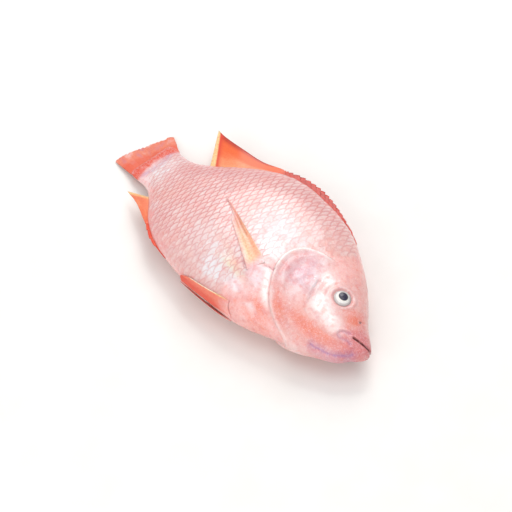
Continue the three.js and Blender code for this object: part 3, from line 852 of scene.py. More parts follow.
def skin_mesh(shape, material):
    """The sculpted skin, with the maps and masks that the scales and colours read."""
    s = station_rings(shape.length)[:, None]
    angle = (np.arange(ROUND) * 2 * math.pi / ROUND)[None, :]
    smooth = shape.smooth(s, angle)
    outward = shape.normal(s, angle)
    h, _ = shape.section(s, angle)
    sway = 0.35 * ripple(smooth, 22.0, 5) + 0.16 * ripple(smooth, 7.0, 6)
    sway += 0.1 * ripple(smooth, 3.4, 8) * (1 - smoothstep(s, 90, 120))
    relief = shape.relief(s + 0 * h, h) + sway * smoothstep(s, 4, 30)
    placed = smooth + outward * relief[..., None]
    placed[..., 2] = np.maximum(placed[..., 2], 0)
    rings = len(s)
    nose = shape.place(-0.05, shape.section(np.array(0.01), np.array(0.0))[0], shape.middle(0.0))
    last = placed[-1].mean(0)
    points = np.concatenate([[nose], placed.reshape(-1, 3), [last]])
    made = mesh_object("fish_skin", points, ring_faces(rings, ROUND), material)

    def full(values, first, end):
        """Values for every point of the mesh, with the two poles."""
        values = np.asarray(values, float)
        return np.concatenate([[first], values.reshape(-1, *values.shape[2:]), [end]])

    wide_s = s + 0 * h
    side = np.where(np.sin(angle) + 0 * h >= 0, 1.0, -1.0)
    station = full(np.stack([wide_s, h, side], -1), (0, h[0, 0], 1), (s[-1, 0], 0, 1))
    mesh = made.data
    store(mesh, "station", "FLOAT_VECTOR", station)
    store(mesh, "place", "FLOAT_VECTOR", points * MM)
    store(mesh, "outward", "FLOAT_VECTOR", full(outward, (1, 0, 0), (-1, 0, 0)))
    steps = np.linalg.norm(np.diff(smooth, axis=1, append=smooth[:, :1]), axis=-1)
    arc = np.concatenate([np.zeros((rings, 1)), np.cumsum(steps, axis=1)], axis=1)
    store(mesh, "scaled", "FLOAT", full(scale_mask(shape, wide_s, h, arc), 0, 0))
    store(mesh, "tint", "FLOAT_COLOR", skin_colour(shape, station[:, 0], station[:, 1], points))
    scale_map(mesh, s[:, 0], arc)
    return made


def scale_mask(shape, s, h, arc):
    """1 where scales are full-sized, less where they are small, 0 where the skin is bare."""
    reach, _ = shape.gill_reach(s, h)
    from_back = np.minimum(arc[:, :-1], arc[:, -1:] - arc[:, :-1])
    from_belly = np.abs(arc[:, :-1] - arc[:, ROUND // 2 : ROUND // 2 + 1])
    clear = smoothstep(from_back, 2.4, 6) * smoothstep(from_belly, 3.2, 9)
    mask = clear * smoothstep(reach, 2.5, 9)
    mask *= np.where(h > 0, smoothstep(s, 58, 80), smoothstep(s, 52, 66))
    mask *= 1 - smoothstep(s, shape.length - 12, shape.length - 1)
    mask *= 1 - patches(s, h, SMALL_SCALE_PATCHES)
    mask *= 1 - smoothstep(blob(s, h, (86, -50), (26, 15)), 0.25, 0.6)
    mask *= 1 - smoothstep(blob(s, h, PECTORAL_PAD, (8.5, 8.5)), 0.25, 0.5)
    belly = smoothstep((h - shape.belly(s)) / shape.depth, 0.03, 0.28)
    return mask * (0.45 + 0.55 * belly)


def scale_map(mesh, s, arc):
    """The UV map in which every scale covers one step along and one across."""
    scales = bpy.context.scene.tilapia_scales
    pitch = np.interp(s, SIZE_STATIONS, np.array(PITCH_SHARES) * scales.pitch / MM)
    rows = np.interp(s, SIZE_STATIONS, np.array(ROW_SHARES) * scales.row / MM)
    along = np.cumsum(np.diff(s, prepend=s[0]) / pitch)
    along = (along - np.interp(FIRST_SCALE, s, along) + MAP_START) / MAP_COLUMNS
    quarter, half = ROUND // 4, ROUND // 2
    up = (arc[:, quarter : quarter + 1] - arc) / rows[:, None] / MAP_ROWS + 0.25
    down = (arc - arc[:, half + quarter : half + quarter + 1]) / rows[:, None] / MAP_ROWS + 0.75
    across = np.stack([up, down])
    k = np.arange(ROUND)
    flank = (k >= half).astype(int)
    off_map = np.full((ROUND * 3, 2), 0.0005)
    uv = [off_map]
    for ring in range(len(s) - 1):
        corners = [(ring, k), (ring + 1, k), (ring + 1, k + 1), (ring, k + 1)]
        face = [np.stack([np.full(ROUND, along[r]), across[flank, r, q]], -1) for r, q in corners]
        uv.append(np.stack(face, 1).reshape(-1, 2))
    uv.append(off_map)
    layer = mesh.uv_layers.new(name="scale_map")
    layer.data.foreach_set("uv", np.concatenate(uv).astype(np.float32).ravel())


def one_scale(lift):
    """A single scale on the unit map: its front is sunk in the skin, its round rear edge stands proud."""
    ribs, tiers = 7, 3
    points, edge = [(-0.75, 0.0, -0.55 * lift)], [0.0]
    for tier in range(1, tiers + 1):
        reach = tier / tiers
        for rib in range(ribs):
            turn = math.radians(-64 + 128 * rib / (ribs - 1))
            a = -0.75 + 1.5 * reach * math.cos(turn) ** 0.45
            b = 1.18 * reach * math.sin(turn) * (1.25 - 0.25 * reach)
            points.append((a, b, lift * (-0.55 + 1.4 * reach - 0.25 * (b / 1.1) ** 2)))
            edge.append(reach)
    rim = 1 + (tiers - 1) * ribs
    for rib in range(ribs):
        a, b, z = points[rim + rib]
        points.append((a * 0.985, b * 0.985, z - 1.1 * lift))
        edge.append(0.8)
    faces = [(0, 1 + r, 2 + r) for r in range(ribs - 1)]
    for tier in range(tiers):
        first = 1 + tier * ribs
        faces += [(first + r, first + ribs + r, first + ribs + r + 1, first + r + 1) for r in range(ribs - 1)]
    skirt = 1 + tiers * ribs
    faces += [(0, skirt + r + 1, skirt + r) for r in range(ribs - 1)]
    for side in (0, ribs - 1):
        ladder = [1 + tier * ribs + side for tier in range(tiers)] + [skirt + side]
        faces.append((0, *reversed(ladder)) if side == 0 else (0, *ladder))
    mesh = bpy.data.meshes.new("one_scale")
    mesh.from_pydata([(a, b, z * MM) for a, b, z in points], [], faces)
    mesh.polygons.foreach_set("use_smooth", [True] * len(mesh.polygons))
    border = {0, *range(rim, len(points)), *range(1, rim, ribs), *range(ribs, rim, ribs)}
    for side in mesh.edges:
        side.use_edge_sharp = border.issuperset(side.vertices)
    store(mesh, "edge", "FLOAT", edge)
    made = bpy.data.objects.new("one_scale", mesh)
    bpy.context.scene.collection.objects.link(made)
    return made


# ---------------------------------------------------------------------------------------------
# Fins. Each surface takes across (0 to 1 along the root) and out (0 at the root, 1 at the edge).
# ---------------------------------------------------------------------------------------------
ROOT_DEPTH = 4.0  # how deep the roots of the fins sit in the body
SPINY_SHARE = 0.62  # share of a rising fin's root that carries spines
SOFT_RISE = 2.4  # power by which its soft part rises
LOWEST_MIDDLE = 0.45  # height above the table that the middle fins keep
TAIL_DROOP = 5.5  # how far the tail fin's end hangs below its root
TAIL_SLANT = 12.0  # how much further back the tail fin's lower corner lies than its upper one
TAIL_LEVEL = 6.0  # how far the middle of its end lies above the middle of its root
TAIL_BULGE = 3.0  # how far back the middle of its end lies past a straight line


def middle_surface(shape, root, edge, drop, wave):
    """A fin of the middle plane between its root line and its free edge."""

    def surface(across, out):
        root_s, root_h = root(across)
        edge_s, edge_h = edge(across)
        s = root_s + (edge_s - root_s) * out
        h = root_h + (edge_h - root_h) * out
        z = shape.middle(np.minimum(s, shape.length)) - drop * out + wave(across, out)
        points = shape.place(s, h, np.maximum(z, LOWEST_MIDDLE))
        return points, np.broadcast_to([0.0, 0.0, 1.0], points.shape)

    return surface


def tail_surface(shape, fins):
    middle = (shape.back(shape.length) + shape.belly(shape.length)) / 2
    half = (shape.back(shape.length) - shape.belly(shape.length)) / 2
    length, spread = fins.tail_length / MM, fins.tail_spread / MM

    def root(across):
        return shape.length - ROOT_DEPTH + 0 * across, middle + 0.97 * half * (1 - 2 * across)

    def edge(across):
        bulge = TAIL_BULGE * (np.sin(math.pi * across) - 1)
        torn = 1.3 * ripple(np.stack([across * 60, 0 * across, 0 * across], -1), 3.0, 11)
        torn += 0.5 * np.abs(np.sin(across * 17 * math.pi))
        s = shape.length + length + TAIL_SLANT * (across - 0.5) + bulge + torn
        return s, middle + TAIL_LEVEL + spread / 2 * (1 - 2 * across)

    def wave(across, out):
        return out * (0.9 * np.sin(across * 9 + 0.6) + 0.4 * np.sin(across * 23))

    return middle_surface(shape, root, edge, TAIL_DROOP, wave)


def rising_surface(shape, start, end, level, upwards, spine, tip, sweep, lift, spines, lean):
    """A back or belly fin: folded spines with notches between them, then a swept soft part."""

    def soft_at(across):
        return (np.maximum(0, across - SPINY_SHARE) / (1 - SPINY_SHARE)) ** SOFT_RISE

    def root(across):
        s = start + (end - start) * across
        return s, level(s) - upwards * ROOT_DEPTH

    def edge(across):
        s = start + (end - start) * across
        soft = soft_at(across)
        spiny = 1 - smoothstep(across, SPINY_SHARE - 0.08, SPINY_SHARE + 0.1)
        opening = smoothstep(across, -0.12, 0.35)
        notch = 1 - 0.3 * spiny * (across * spines / SPINY_SHARE % 1.0) ** 1.5
        leaned = s + lean * spiny * smoothstep(across, 0, 0.1)
        rise = spine * opening * notch + (tip - spine) * soft
        frayed = 0.8 * soft * np.abs(np.sin(across * 55))
        return leaned + sweep * soft - frayed, level(np.minimum(leaned, shape.length)) + upwards * rise

    def wave(across, out):
        loose = smoothstep(across, 0.5, 0.8)
        return lift * soft_at(across) * out + 0.7 * out * np.sin(across * 30) * loose

    return middle_surface(shape, root, edge, 0.0, wave)


def path_reader(path):
    """A function that reads a smooth path of two coordinates at a share of its steps."""
    fine = curve_through(path, 200)
    steps = np.linspace(0, 1, len(fine))
    return lambda across: (np.interp(across, steps, fine[:, 0]), np.interp(across, steps, fine[:, 1]))


def flank_surface(shape, root, tip, lift, thickness, underneath):
    """A fin pressed along the flank: rays fan from root points to tip points, each a distance and a level."""
    root_at, tip_at = path_reader(root), path_reader(tip)

    def surface(across, out):
        root_s, root_h = root_at(across)
        tip_s, tip_h = tip_at(across)
        s = root_s + (tip_s - root_s) * out
        h = root_h + (tip_h - root_h) * out
        return beside_skin(shape, s, shape.angle(s, h, underneath), lift(across, out), thickness)

    return surface


def belly_surface(shape, root, tip, lift, thickness, underneath):
    """A fin folded along the belly: each root and tip point is a distance and an angle round the section."""
    root_at, tip_at = path_reader(root), path_reader(tip)

    def surface(across, out):
        root_s, root_turn = root_at(across)
        tip_s, tip_turn = tip_at(across)
        s = root_s + (tip_s - root_s) * out
        angle = np.radians(root_turn + (tip_turn - root_turn) * out)
        if underneath:
            angle = 2 * math.pi - angle
        return beside_skin(shape, s, angle, lift(across, out), thickness)

    return surface


def beside_skin(shape, s, angle, stand, thickness):
    """Points that stand off the smooth skin, never below the table, and the skin's normals there."""
    normal = shape.normal(s, angle)
    points = shape.smooth(s, angle) + normal * (thickness / 2 + stand)[..., None]
    points[..., 2] = np.maximum(points[..., 2], thickness / 2)
    return points, normal


def fin_membrane(name, surface, thickness, columns, rows, material):
    """A closed thin sheet over a fin's surface, with the map that its rays read.

    Known fault: the edge walls lie over that map too, so most rays find no place on it.
    """
    across, out = np.meshgrid(np.linspace(0, 1, columns + 1), np.linspace(0, 1, rows + 1), indexing="ij")
    centre, normal = surface(across, out)
    half = (thickness(across, out) * (1 - 0.6 * out) / 2)[..., None]
    top, bottom = (centre + normal * half).reshape(-1, 3), (centre - normal * half).reshape(-1, 3)
    layer = len(top)
    at = lambda i, j, deck=0: deck * layer + i * (rows + 1) + j
    faces = []
    for i in range(columns):
        for j in range(rows):
            faces.append((at(i, j), at(i + 1, j), at(i + 1, j + 1), at(i, j + 1)))
            faces.append((at(i, j, 1), at(i, j + 1, 1), at(i + 1, j + 1, 1), at(i + 1, j, 1)))
        faces.append((at(i, 0), at(i, 0, 1), at(i + 1, 0, 1), at(i + 1, 0)))
        faces.append((at(i, rows), at(i + 1, rows), at(i + 1, rows, 1), at(i, rows, 1)))
    for j in range(rows):
        faces.append((at(0, j), at(0, j + 1), at(0, j + 1, 1), at(0, j, 1)))
        faces.append((at(columns, j), at(columns, j, 1), at(columns, j + 1, 1), at(columns, j + 1)))
    made = mesh_object(name, np.concatenate([top, bottom]), faces, material)
    mesh = made.data
    flat = np.stack([across.ravel(), out.ravel()], -1)
    uv_layer(mesh, "fin_map", np.concatenate([flat, flat + (3.0, 0.0)]))
    places = np.concatenate([flat, flat])
    store(mesh, "fin_place", "FLOAT_VECTOR", np.column_stack([places, np.zeros(len(places))]))
    store(mesh, "middle", "FLOAT_VECTOR", np.concatenate([centre.reshape(-1, 3)] * 2) * MM)
    outward_faces(mesh)
    return made


def outward_faces(mesh):
    """Turns a closed mesh right side out if its volume says that it is inside out."""
    points = points_of(mesh)
    mesh.calc_loop_triangles()
    corners = np.zeros(len(mesh.loop_triangles) * 3, np.int32)
    mesh.loop_triangles.foreach_get("vertices", corners)
    a, b, c = (points[corners.reshape(-1, 3)[:, i]] for i in range(3))
    if np.einsum("ij,ij->i", a, np.cross(b, c)).sum() < 0:
        mesh.flip_normals()


SLIT_SHADE = (0.53, 0), (0.13, 0.3)  # dark patch beside the pectoral fin, in shares out and across


def fin_colour(mesh, kind, shape):
    """Lays a fin's colouring over its membrane or rays, from root to free edge, with painted shade at the
    pectoral fin's root and beside its slit.
    """
    look = bpy.context.scene.tilapia_colours
    place = read(mesh, "fin_place", 3).astype(float)
    across, out = place[:, 0], place[:, 1]
    mottle = ripple(np.stack([across * 60, out * 30, 0 * out], -1), 6.0, 9)
    points = points_of(mesh)
    s, h = shape.snout_x - points[:, 0], points[:, 1] - shape.axis_y
    colour = np.broadcast_to(linear(look.coral), (len(points), 4)).copy()
    if kind == "tail":
        layers = [
            (look.fringe, 0.35 + 0.6 * smoothstep(out + 0.1 * mottle - 0.18 * across, 0.42, 0.66)),
            (look.lilac, 0.35 * smoothstep(mottle, 0.0, 0.6) * smoothstep(out, 0.5, 0.8)),
            (look.pearl_and_highlight, 0.35 * smoothstep(-mottle, 0.1, 0.6) * smoothstep(out, 0.6, 0.9)),
        ]
    elif kind == "dorsal":
        soft = smoothstep(across, SPINY_SHARE - 0.05, SPINY_SHARE + 0.12)
        pale = 1 - 0.032 + 0.018 * out
        layers = [
            (look.scarlet, 1 - soft),
            (look.crimson, (1 - soft) * (0.35 + 0.5 * smoothstep(mottle, 0.0, 0.5))),
            (look.orange, soft),
            (look.amber, soft * smoothstep(out + 0.25 * mottle, 0.55, 0.2)),
            # A crimson edge near the soft part's tip, darkened as a painted shadow along it.
            (look.crimson, 0.85 * soft * smoothstep(out, 0.8, 0.95) * smoothstep(across, 0.7, 0.8)),
            (look.scarlet, 0.9 * bell(across - pale, 0.012)),
            (look.gold, 0.9 * smoothstep(across, pale, pale + 0.008)),
        ]
    elif kind == "anal":
        layers = [
            (look.salmon, smoothstep(out, 0.6, 0.1)),
            (look.amber, 0.5 * smoothstep(mottle, 0.0, 0.6)),
            (look.scarlet, 0.5 * (1 - smoothstep(across, 0.5, 0.75))),
            (look.amber, 0.45 * smoothstep(across, 0.6, 0.8)),
            (look.gold, 0.8 * smoothstep(across, 0.96, 0.99)),
        ]
    elif kind == "pectoral":
        colour = skin_colour(shape, s, h, points)
        body = smoothstep(out, 0.03, 0.14) * (1 - smoothstep(out, 0.78, 1.0))
        layers = [
            (look.amber, 0.75 * body * (1 - smoothstep(across + 0.1 * mottle + 0.7 * out, 0.35, 0.95))),
            (look.gold, 0.6 * body * bell(across - 0.6, 0.3) * (1 - 0.6 * smoothstep(out, 0.4, 0.9))),
            (look.salmon, 0.35 * body * smoothstep(out, 0.5, 0.75) * (1 - smoothstep(across, 0.6, 1.0))),
            # A painted shade line along the root of the pectoral fin's lower rays.
            (look.crease_shade, 0.6 * smoothstep(across, 0.9, 0.98) * bell(out - 0.12, 0.1)),
            (look.pearl_and_highlight, 0.35 * (1 - smoothstep(out, 0.02, 0.14))),
            (look.mouth, 0.5 * (1 - smoothstep(across, 0.02, 0.09)) * blob(out, across, *SLIT_SHADE)),
        ]
    else:
        colour = skin_colour(shape, s, h, points)
        grown_out = smoothstep(out, 0.02, 0.3)
        layers = [
            (look.salmon, 0.9 * grown_out),
            (look.scarlet, 0.7 * grown_out * smoothstep(across + 0.3 * out + 0.1 * mottle, 0.45, 0.95)),
            (look.gold, smoothstep(out, 0.0, 0.2) * (1 - smoothstep(across, 0.06, 0.16))),
            (look.white, 0.6 * smoothstep(out, 0.2, 0.5) * (1 - smoothstep(across, 0.05, 0.12))),
        ]
    store(mesh, "tint", "FLOAT_COLOR", painted_over(colour, layers))


# ---------------------------------------------------------------------------------------------
# Eyes
# ---------------------------------------------------------------------------------------------
EYE_ROUND = 64  # points round each ring of an eyeball


def eyeball(name, shape, eyes, underneath, material):
    """A ball with a low cornea, turned on the axis that looks out of the head."""
    radius, bulge = eyes.eye_radius / MM, eyes.eye_bulge / MM
    angle = shape.angle(np.array(EYE[0]), np.array(EYE[1]), underneath)
    axis = shape.normal(np.array(EYE[0]), angle)
    centre = shape.smooth(np.array(EYE[0]), angle) + axis * (bulge - radius)
    forward = np.cross(axis, [0.0, 1.0, 0.0])
    forward /= np.linalg.norm(forward)
    upward = np.cross(forward, axis)
    turns = np.concatenate([np.linspace(0, 1.05, 48)[1:], np.linspace(1.05, math.pi, 18)[1:-1]])
    around = np.arange(EYE_ROUND) * 2 * math.pi / EYE_ROUND
    spokes = np.cos(around)[:, None] * forward + np.sin(around)[:, None] * upward
    from_axis = radius * np.sin(turns)
    height = radius * np.cos(turns) - 0.2 * bell(from_axis - 6.5, 0.7) * (turns < 1.2)
    rings = centre + height[:, None, None] * axis + from_axis[:, None, None] * spokes[None]
    points = np.concatenate([[centre + radius * axis], rings.reshape(-1, 3), [centre - radius * axis]])
    made = mesh_object(name, points, ring_faces(len(turns), EYE_ROUND), material)
    outward_faces(made.data)
    flat = points - centre
    along, up = flat @ forward, flat @ upward
    front = flat @ axis > 0
    from_middle = np.where(front, np.hypot(along, up), 9.0)
    pupil = np.hypot(along / 1.08, up)
    look = bpy.context.scene.tilapia_colours
    streak = ripple(np.stack([np.arctan2(up, along) * 6, 0 * up, 0 * up], -1), 1.0, 4)
    layers = [
        # Painted shade of the lid over the upper iris, with streaks.
        (look.iris_shade, 0.75 * smoothstep(up, -0.5, 4.0) + 0.2 * streak),
        (look.iris_shade, 0.55 * smoothstep(from_middle, 5.0, 5.6)),
        (look.iris_rim, bell(from_middle - 6.9, 0.5) + smoothstep(from_middle, 7.3, 7.6)),
        (look.gold, 0.25 * bell(from_middle - 3.4, 0.4)),
        (look.pupil, 1 - smoothstep(pupil, 3.2, 3.5)),
    ]
    store(made.data, "tint", "FLOAT_COLOR", painted(look.iris, layers))
    return made


# ---------------------------------------------------------------------------------------------
# Sizes and colours that a user would change
# ---------------------------------------------------------------------------------------------
def size_of(name, millimetres, description, low=0.0, high=1000.0):
    return FloatProperty(
        name=name,
        description=description,
        default=millimetres * MM,
        min=low * MM,
        max=high * MM,
        subtype="DISTANCE",
        unit="LENGTH",
        precision=4,
    )


def colour_of(name, default, description):
    return StringProperty(name=name, description=description, default=default)


class TilapiaBody(bpy.types.PropertyGroup):
    """Sizes of the body."""

    length: size_of("Length", (SKIN_BOX[1].x - SKIN_BOX[0].x) / MM, "Snout tip to tail root")
    depth: size_of("Depth", 127, "Back to belly at the deepest section")
    thickness: size_of("Thickness", 46, "Flank to flank at the widest section")
    sink: size_of("Sink", 2, "How far the flank underneath is pressed flat")
    tail_droop: size_of("Tail droop", 14, "How far the tail root hangs below the trunk")
    droop_start: size_of("Droop start", 165, "Distance behind the snout where the tail starts to hang")
    eye_radius: size_of("Eye radius", 8, "Radius of the eyeball")
    eye_bulge: size_of("Eye bulge", 2.8, "How far the eyeball stands out of the head")


class TilapiaScales(bpy.types.PropertyGroup):
    """Sizes of the scales."""

    pitch: size_of("Pitch", 5.5, "Distance from one scale to the next along a row", 2, 12)
    row: size_of("Row", 5.6, "Distance between staggered rows", 1, 8)
    lift: size_of("Lift", 0.36, "How far a scale's rear edge stands off the skin", 0, 2)
    spread: FloatProperty(name="Size spread", description="Random change from scale to scale", default=0.16)
    seed: IntProperty(name="Seed", description="Seed of the random changes", default=5)


class TilapiaFins(bpy.types.PropertyGroup):
    """Sizes of the fins."""

    tail_length: size_of("Tail length", 24, "Tail root to the middle of the tail fin's end")
    tail_spread: size_of("Tail spread", 50, "Height of the tail fin along its end")
    back_height: size_of("Back fin height", 29, "Soft rear point above the back")
    back_sweep: size_of("Back fin sweep", 27, "How far that point trails behind the fin's root")
    back_lift: size_of("Back fin lift", 6, "How far that point stands above the fish's middle plane")
    spine_height: size_of("Spine height", 6.5, "Folded spines over the back")
    anal_sweep: size_of("Anal fin sweep", 23, "How far the anal fin's tip trails behind its root")
    membrane: size_of("Membrane", 0.7, "Thickness of the fins at their roots")
    ray_radius: size_of("Ray radius", 0.55, "Radius of the fin rays at their roots")


class TilapiaColours(bpy.types.PropertyGroup):
    """Colours of the skin, fins and eyes, as sRGB hex values."""

    flesh: colour_of("Flesh pink", "#F0B6B0", "Ground colour of the skin")
    rose: colour_of("Rose", "#DC7E80", "Back and snout")
    salmon: colour_of("Salmon", "#EE7F66", "Belly, jaw and gill cover's lower edge")
    # Pale skin colour, also laid on as painted highlight on the shoulder, the top of the flank and the tail
    # root.
    pearl_and_highlight: colour_of("Pearl", "#F3E4E6", "Pale patches of flank, cheek and tail root")
    lilac: colour_of("Lilac", "#BC7FA8", "Streaks on the jaw")
    # White: the gill cover's edge, the strip behind it and the pelvic fins' leading edges, also laid on as
    # painted highlight on the cheek, the gill rim's upper arc and round the orbit.
    white: colour_of("White", "#FFFAF7", "Gill cover's rim and the strip behind it")
    # Painted shade that darkens the folds of the skin and the pectoral fin's root.
    crease_shade: colour_of("Crease", "#B8565C", "Folds of the skin")
    # The dark red inside of the mouth, also laid on as painted shade in the mouth slit and nostrils and as
    # painted shadow beside the pectoral fin.
    mouth: colour_of("Mouth", "#4A1216", "Inside of the mouth and nostril")
    coral: colour_of("Coral", "#E0563C", "Tail and anal fins")
    fringe: colour_of("Fringe", "#EA8A70", "Torn edge of the tail fin")
    orange: colour_of("Orange", "#E9682F", "Soft part of the back fin and pelvic fins")
    scarlet: colour_of("Scarlet", "#D63A28", "Folded spines of the back")
    crimson: colour_of("Crimson", "#A82420", "Leading edge of the back fin")
    gold: colour_of("Gold", "#F4D79A", "Clear membrane and spines")
    amber: colour_of("Amber", "#F2A070", "Pectoral fins")
    iris: colour_of("Iris", "#F4F2EE", "Iris")
    # Iris shade: painted shade of the lid on the upper iris, also the grey of the iris's outer band.
    iris_shade: colour_of("Iris shade", "#A9A6A8", "Upper part of the iris")
    iris_rim: colour_of("Iris rim", "#8C8688", "Outer ring of the iris")
    pupil: colour_of("Pupil", "#26233F", "Pupil")


# ---------------------------------------------------------------------------------------------
# Operators, one for each group of pieces
# ---------------------------------------------------------------------------------------------
class TilapiaSkin(bpy.types.Operator):
    """Builds the sculpted skin with its gill covers, mouth and nostrils"""

    bl_idname = "tilapia.skin"
    bl_label = "Skin"

    def execute(self, context):
        shape = Shape(context.scene.tilapia_body)
        skin = skin_mesh(shape, wet_skin("wet_fish_skin", False))
        finish_piece(skin, "skin", "body")
        return {"FINISHED"}


ABOVE_TABLE = 0.00002  # metres by which the scales underneath stay clear of the table


class TilapiaScaleCoat(bpy.types.Operator):
    """Lays the scales over both flanks"""

    bl_idname = "tilapia.scale_coat"
    bl_label = "Scales"

    def execute(self, context):
        sizes = context.scene.tilapia_scales
        shape = Shape(context.scene.tilapia_body)
        material = wet_skin("wet_fish_scales", True)
        template = one_scale(sizes.lift / MM)
        tree = scale_tree(material)
        values = {
            "Skin": bpy.data.objects["fish_skin"],
            "Scale Shape": template,
            "Size Spread": sizes.spread,
            "Seed": sizes.seed,
        }
        coat = grown("scale_coat", tree, values)
        bpy.data.objects.remove(template)
        mesh = coat.data
        place = read(mesh, "position", 3)
        place[:, 2] = np.maximum(place[:, 2], ABOVE_TABLE)
        mesh.attributes["position"].data.foreach_set("vector", place.ravel())
        station = read(mesh, "station", 3).astype(float)
        store(mesh, "tint", "FLOAT_COLOR", skin_colour(shape, station[:, 0], station[:, 1], points_of(mesh)))
        finish_piece(coat, "skin")
        return {"FINISHED"}


RAY_SETS = {  # rays, first, last, root, tip, root radius and tip radius as shares of the ray radius
    "tail_fin": [
        ("rays", 18, 0.03, 0.97, 0.1, 0.99, 1.0, 0.5),
        ("branches", 35, 0.045, 0.955, 0.5, 0.97, 0.5, 0.3),
    ],
    "dorsal_fin": [("rays", 27, 0.03, 0.985, 0.05, 0.99, 1.15, 0.45)],
    "anal_fin": [("rays", 13, 0.05, 0.97, 0.05, 0.98, 1.1, 0.45)],
    "pectoral_fin_right": [("rays", 13, 0.03, 0.97, 0.02, 0.99, 0.8, 0.35)],
    "pectoral_fin_left": [("rays", 13, 0.03, 0.97, 0.02, 0.99, 0.6, 0.35)],
    "pelvic_fin_right": [("rays", 6, 0.06, 0.94, 0.02, 0.99, 1.2, 0.4)],
    "pelvic_fin_left": [("rays", 6, 0.06, 0.94, 0.02, 0.99, 1.2, 0.4)],
}
PECTORAL_ROOT = [(100.5, -21), (103, -28), (105.5, -34.5)]
PECTORAL_TIP = [(169, 1.6), (160, -2.5), (152.5, -6.5), (149, -11.5)]
PELVIC_ROOT = [(99, 153), (97, 162), (92, 173)]  # distance behind the snout and degrees round the section
PELVIC_TIP = [(136, 164), (144, 171), (142, 178)]


def fin_surfaces(shape, fins):
    """Each fin's surface, colouring, membrane thickness in millimetres, columns and rows."""
    spine, membrane = fins.spine_height / MM, fins.membrane / MM
    tip, sweep, lift = fins.back_height / MM, fins.back_sweep / MM, fins.back_lift / MM
    back = rising_surface(shape, 80, 211, shape.back, 1, spine, tip, sweep, lift, 16, 11.0)
    anal = rising_surface(shape, 166, 220, shape.belly, -1, 3, 3, fins.anal_sweep / MM, 1.0, 4, 6.0)

    def even(across, out):
        return membrane + 0 * out

    def ridged(across, out):
        spiny = 1 - smoothstep(across, SPINY_SHARE - 0.05, SPINY_SHARE + 0.12)
        return membrane * (1.2 + 6.0 * smoothstep(across, 0.0, 0.15) * spiny)

    made = {
        "tail_fin": (tail_surface(shape, fins), "tail", even, 140, 24),
        "dorsal_fin": (back, "dorsal", ridged, 260, 14),
        "anal_fin": (anal, "anal", even, 120, 12),
    }
    for side, underneath in (("right", False), ("left", True)):

        def close(across, out, loose=0.0 if underneath else 0.9):
            fold = 0.3 * np.sin(across * 5 * math.pi) * smoothstep(out, 0.1, 0.4)
            free = (1 - smoothstep(across, 0.0, 0.6)) * smoothstep(out, 0.2, 0.7)
            return 0.25 + loose * (free + fold)

        def hanging(across, out):
            return 0.35 + 2.4 * out * (0.35 + 0.65 * across)

        pectoral = flank_surface(shape, PECTORAL_ROOT, PECTORAL_TIP, close, 0.7 * membrane, underneath)
        pelvic = belly_surface(shape, PELVIC_ROOT, PELVIC_TIP, hanging, membrane, underneath)
        made[f"pectoral_fin_{side}"] = (pectoral, "pectoral", even, 48, 60)
        made[f"pelvic_fin_{side}"] = (pelvic, "pelvic", even, 24, 40)
    return made


class TilapiaFinSet(bpy.types.Operator):
    """Builds the seven fins, each a membrane with a set of tapering rays"""

    bl_idname = "tilapia.fins"
    bl_label = "Fins"

    def execute(self, context):
        fins = context.scene.tilapia_fins
        shape = Shape(context.scene.tilapia_body)
        membrane_material, ray_material = wet_fin("wet_fin_membrane", False), wet_fin("wet_fin_ray", True)
        tree = ray_tree(ray_material)
        for name, (surface, kind, thickness, columns, rows) in fin_surfaces(shape, fins).items():
            membrane = fin_membrane(f"{name}_membrane", surface, thickness, columns, rows, membrane_material)
            fin_colour(membrane.data, kind, shape)
            for label, rays, first, last, root, tip, thick, thin in RAY_SETS[name]:
                values = {
                    "Membrane": membrane,
                    "Rays": rays,
                    "First": first,
                    "Last": last,
                    "Root": root,
                    "Tip": tip,
                    "Root Radius": thick * fins.ray_radius,
                    "Tip Radius": thin * fins.ray_radius,
                }
                made = grown(f"{name}_{label}", tree, values)
                fin_colour(made.data, kind, shape)
                finish_piece(made, "fin")
            finish_piece(membrane, "fin", name)
        return {"FINISHED"}


class TilapiaEyes(bpy.types.Operator):
    """Sets both eyes in the head"""

    bl_idname = "tilapia.eyes"
    bl_label = "Eyes"

    def execute(self, context):
        body = context.scene.tilapia_body
        shape = Shape(body)
        material = wet_eye("wet_cornea_over_iris")
        for side, underneath in (("right", False), ("left", True)):
            eye = eyeball(f"eyeball_{side}", shape, body, underneath, material)
            finish_piece(eye, "eye", f"eye_{side}")
        return {"FINISHED"}


CAMERA_AZIMUTH, CAMERA_ELEVATION = 47.77, 52.0  # degrees
CAMERA_DISTANCE = 1.4957
CAMERA_LENS, SENSOR_WIDTH = 140.6, 36.0
CAMERA_SHIFT = (-0.0039, -0.0127)
AIM = (128.3, -2.95, 17.0)  # behind the snout, above the body axis and above the table
TABLE_HALF = 4000.0
LAMPS = [  # name, power in watts, size and place in metres, and linear colour
    ("soft_key", 7.5, 0.8, (-0.55, 0.75, 1.0), (1.0, 0.985, 0.97)),
    ("soft_top", 8.0, 1.4, (0.2, 0.0, 1.6), (1.0, 0.985, 0.97)),
    ("soft_fill", 9.0, 1.2, (0.3, -1.3, 0.8), (1.0, 0.975, 0.96)),
    ("wet_glint", 1.0, 0.22, (-0.35, 0.45, 1.1), (1.0, 0.99, 0.98)),
]
ROOM_COLOUR, ROOM_STRENGTH = (0.95, 0.97, 1.0, 1.0), 0.5


def soft_box(name, power, size, place, colour, target):
    """A large square lamp turned towards a point."""
    data = bpy.data.lights.new(name, "AREA")
    data.energy, data.size, data.color = power, size, colour
    lamp = bpy.data.objects.new(name, data)
    lamp.location = place
    lamp.rotation_euler = (Vector(target) - Vector(place)).to_track_quat("-Z", "Y").to_euler()
    bpy.context.scene.collection.objects.link(lamp)


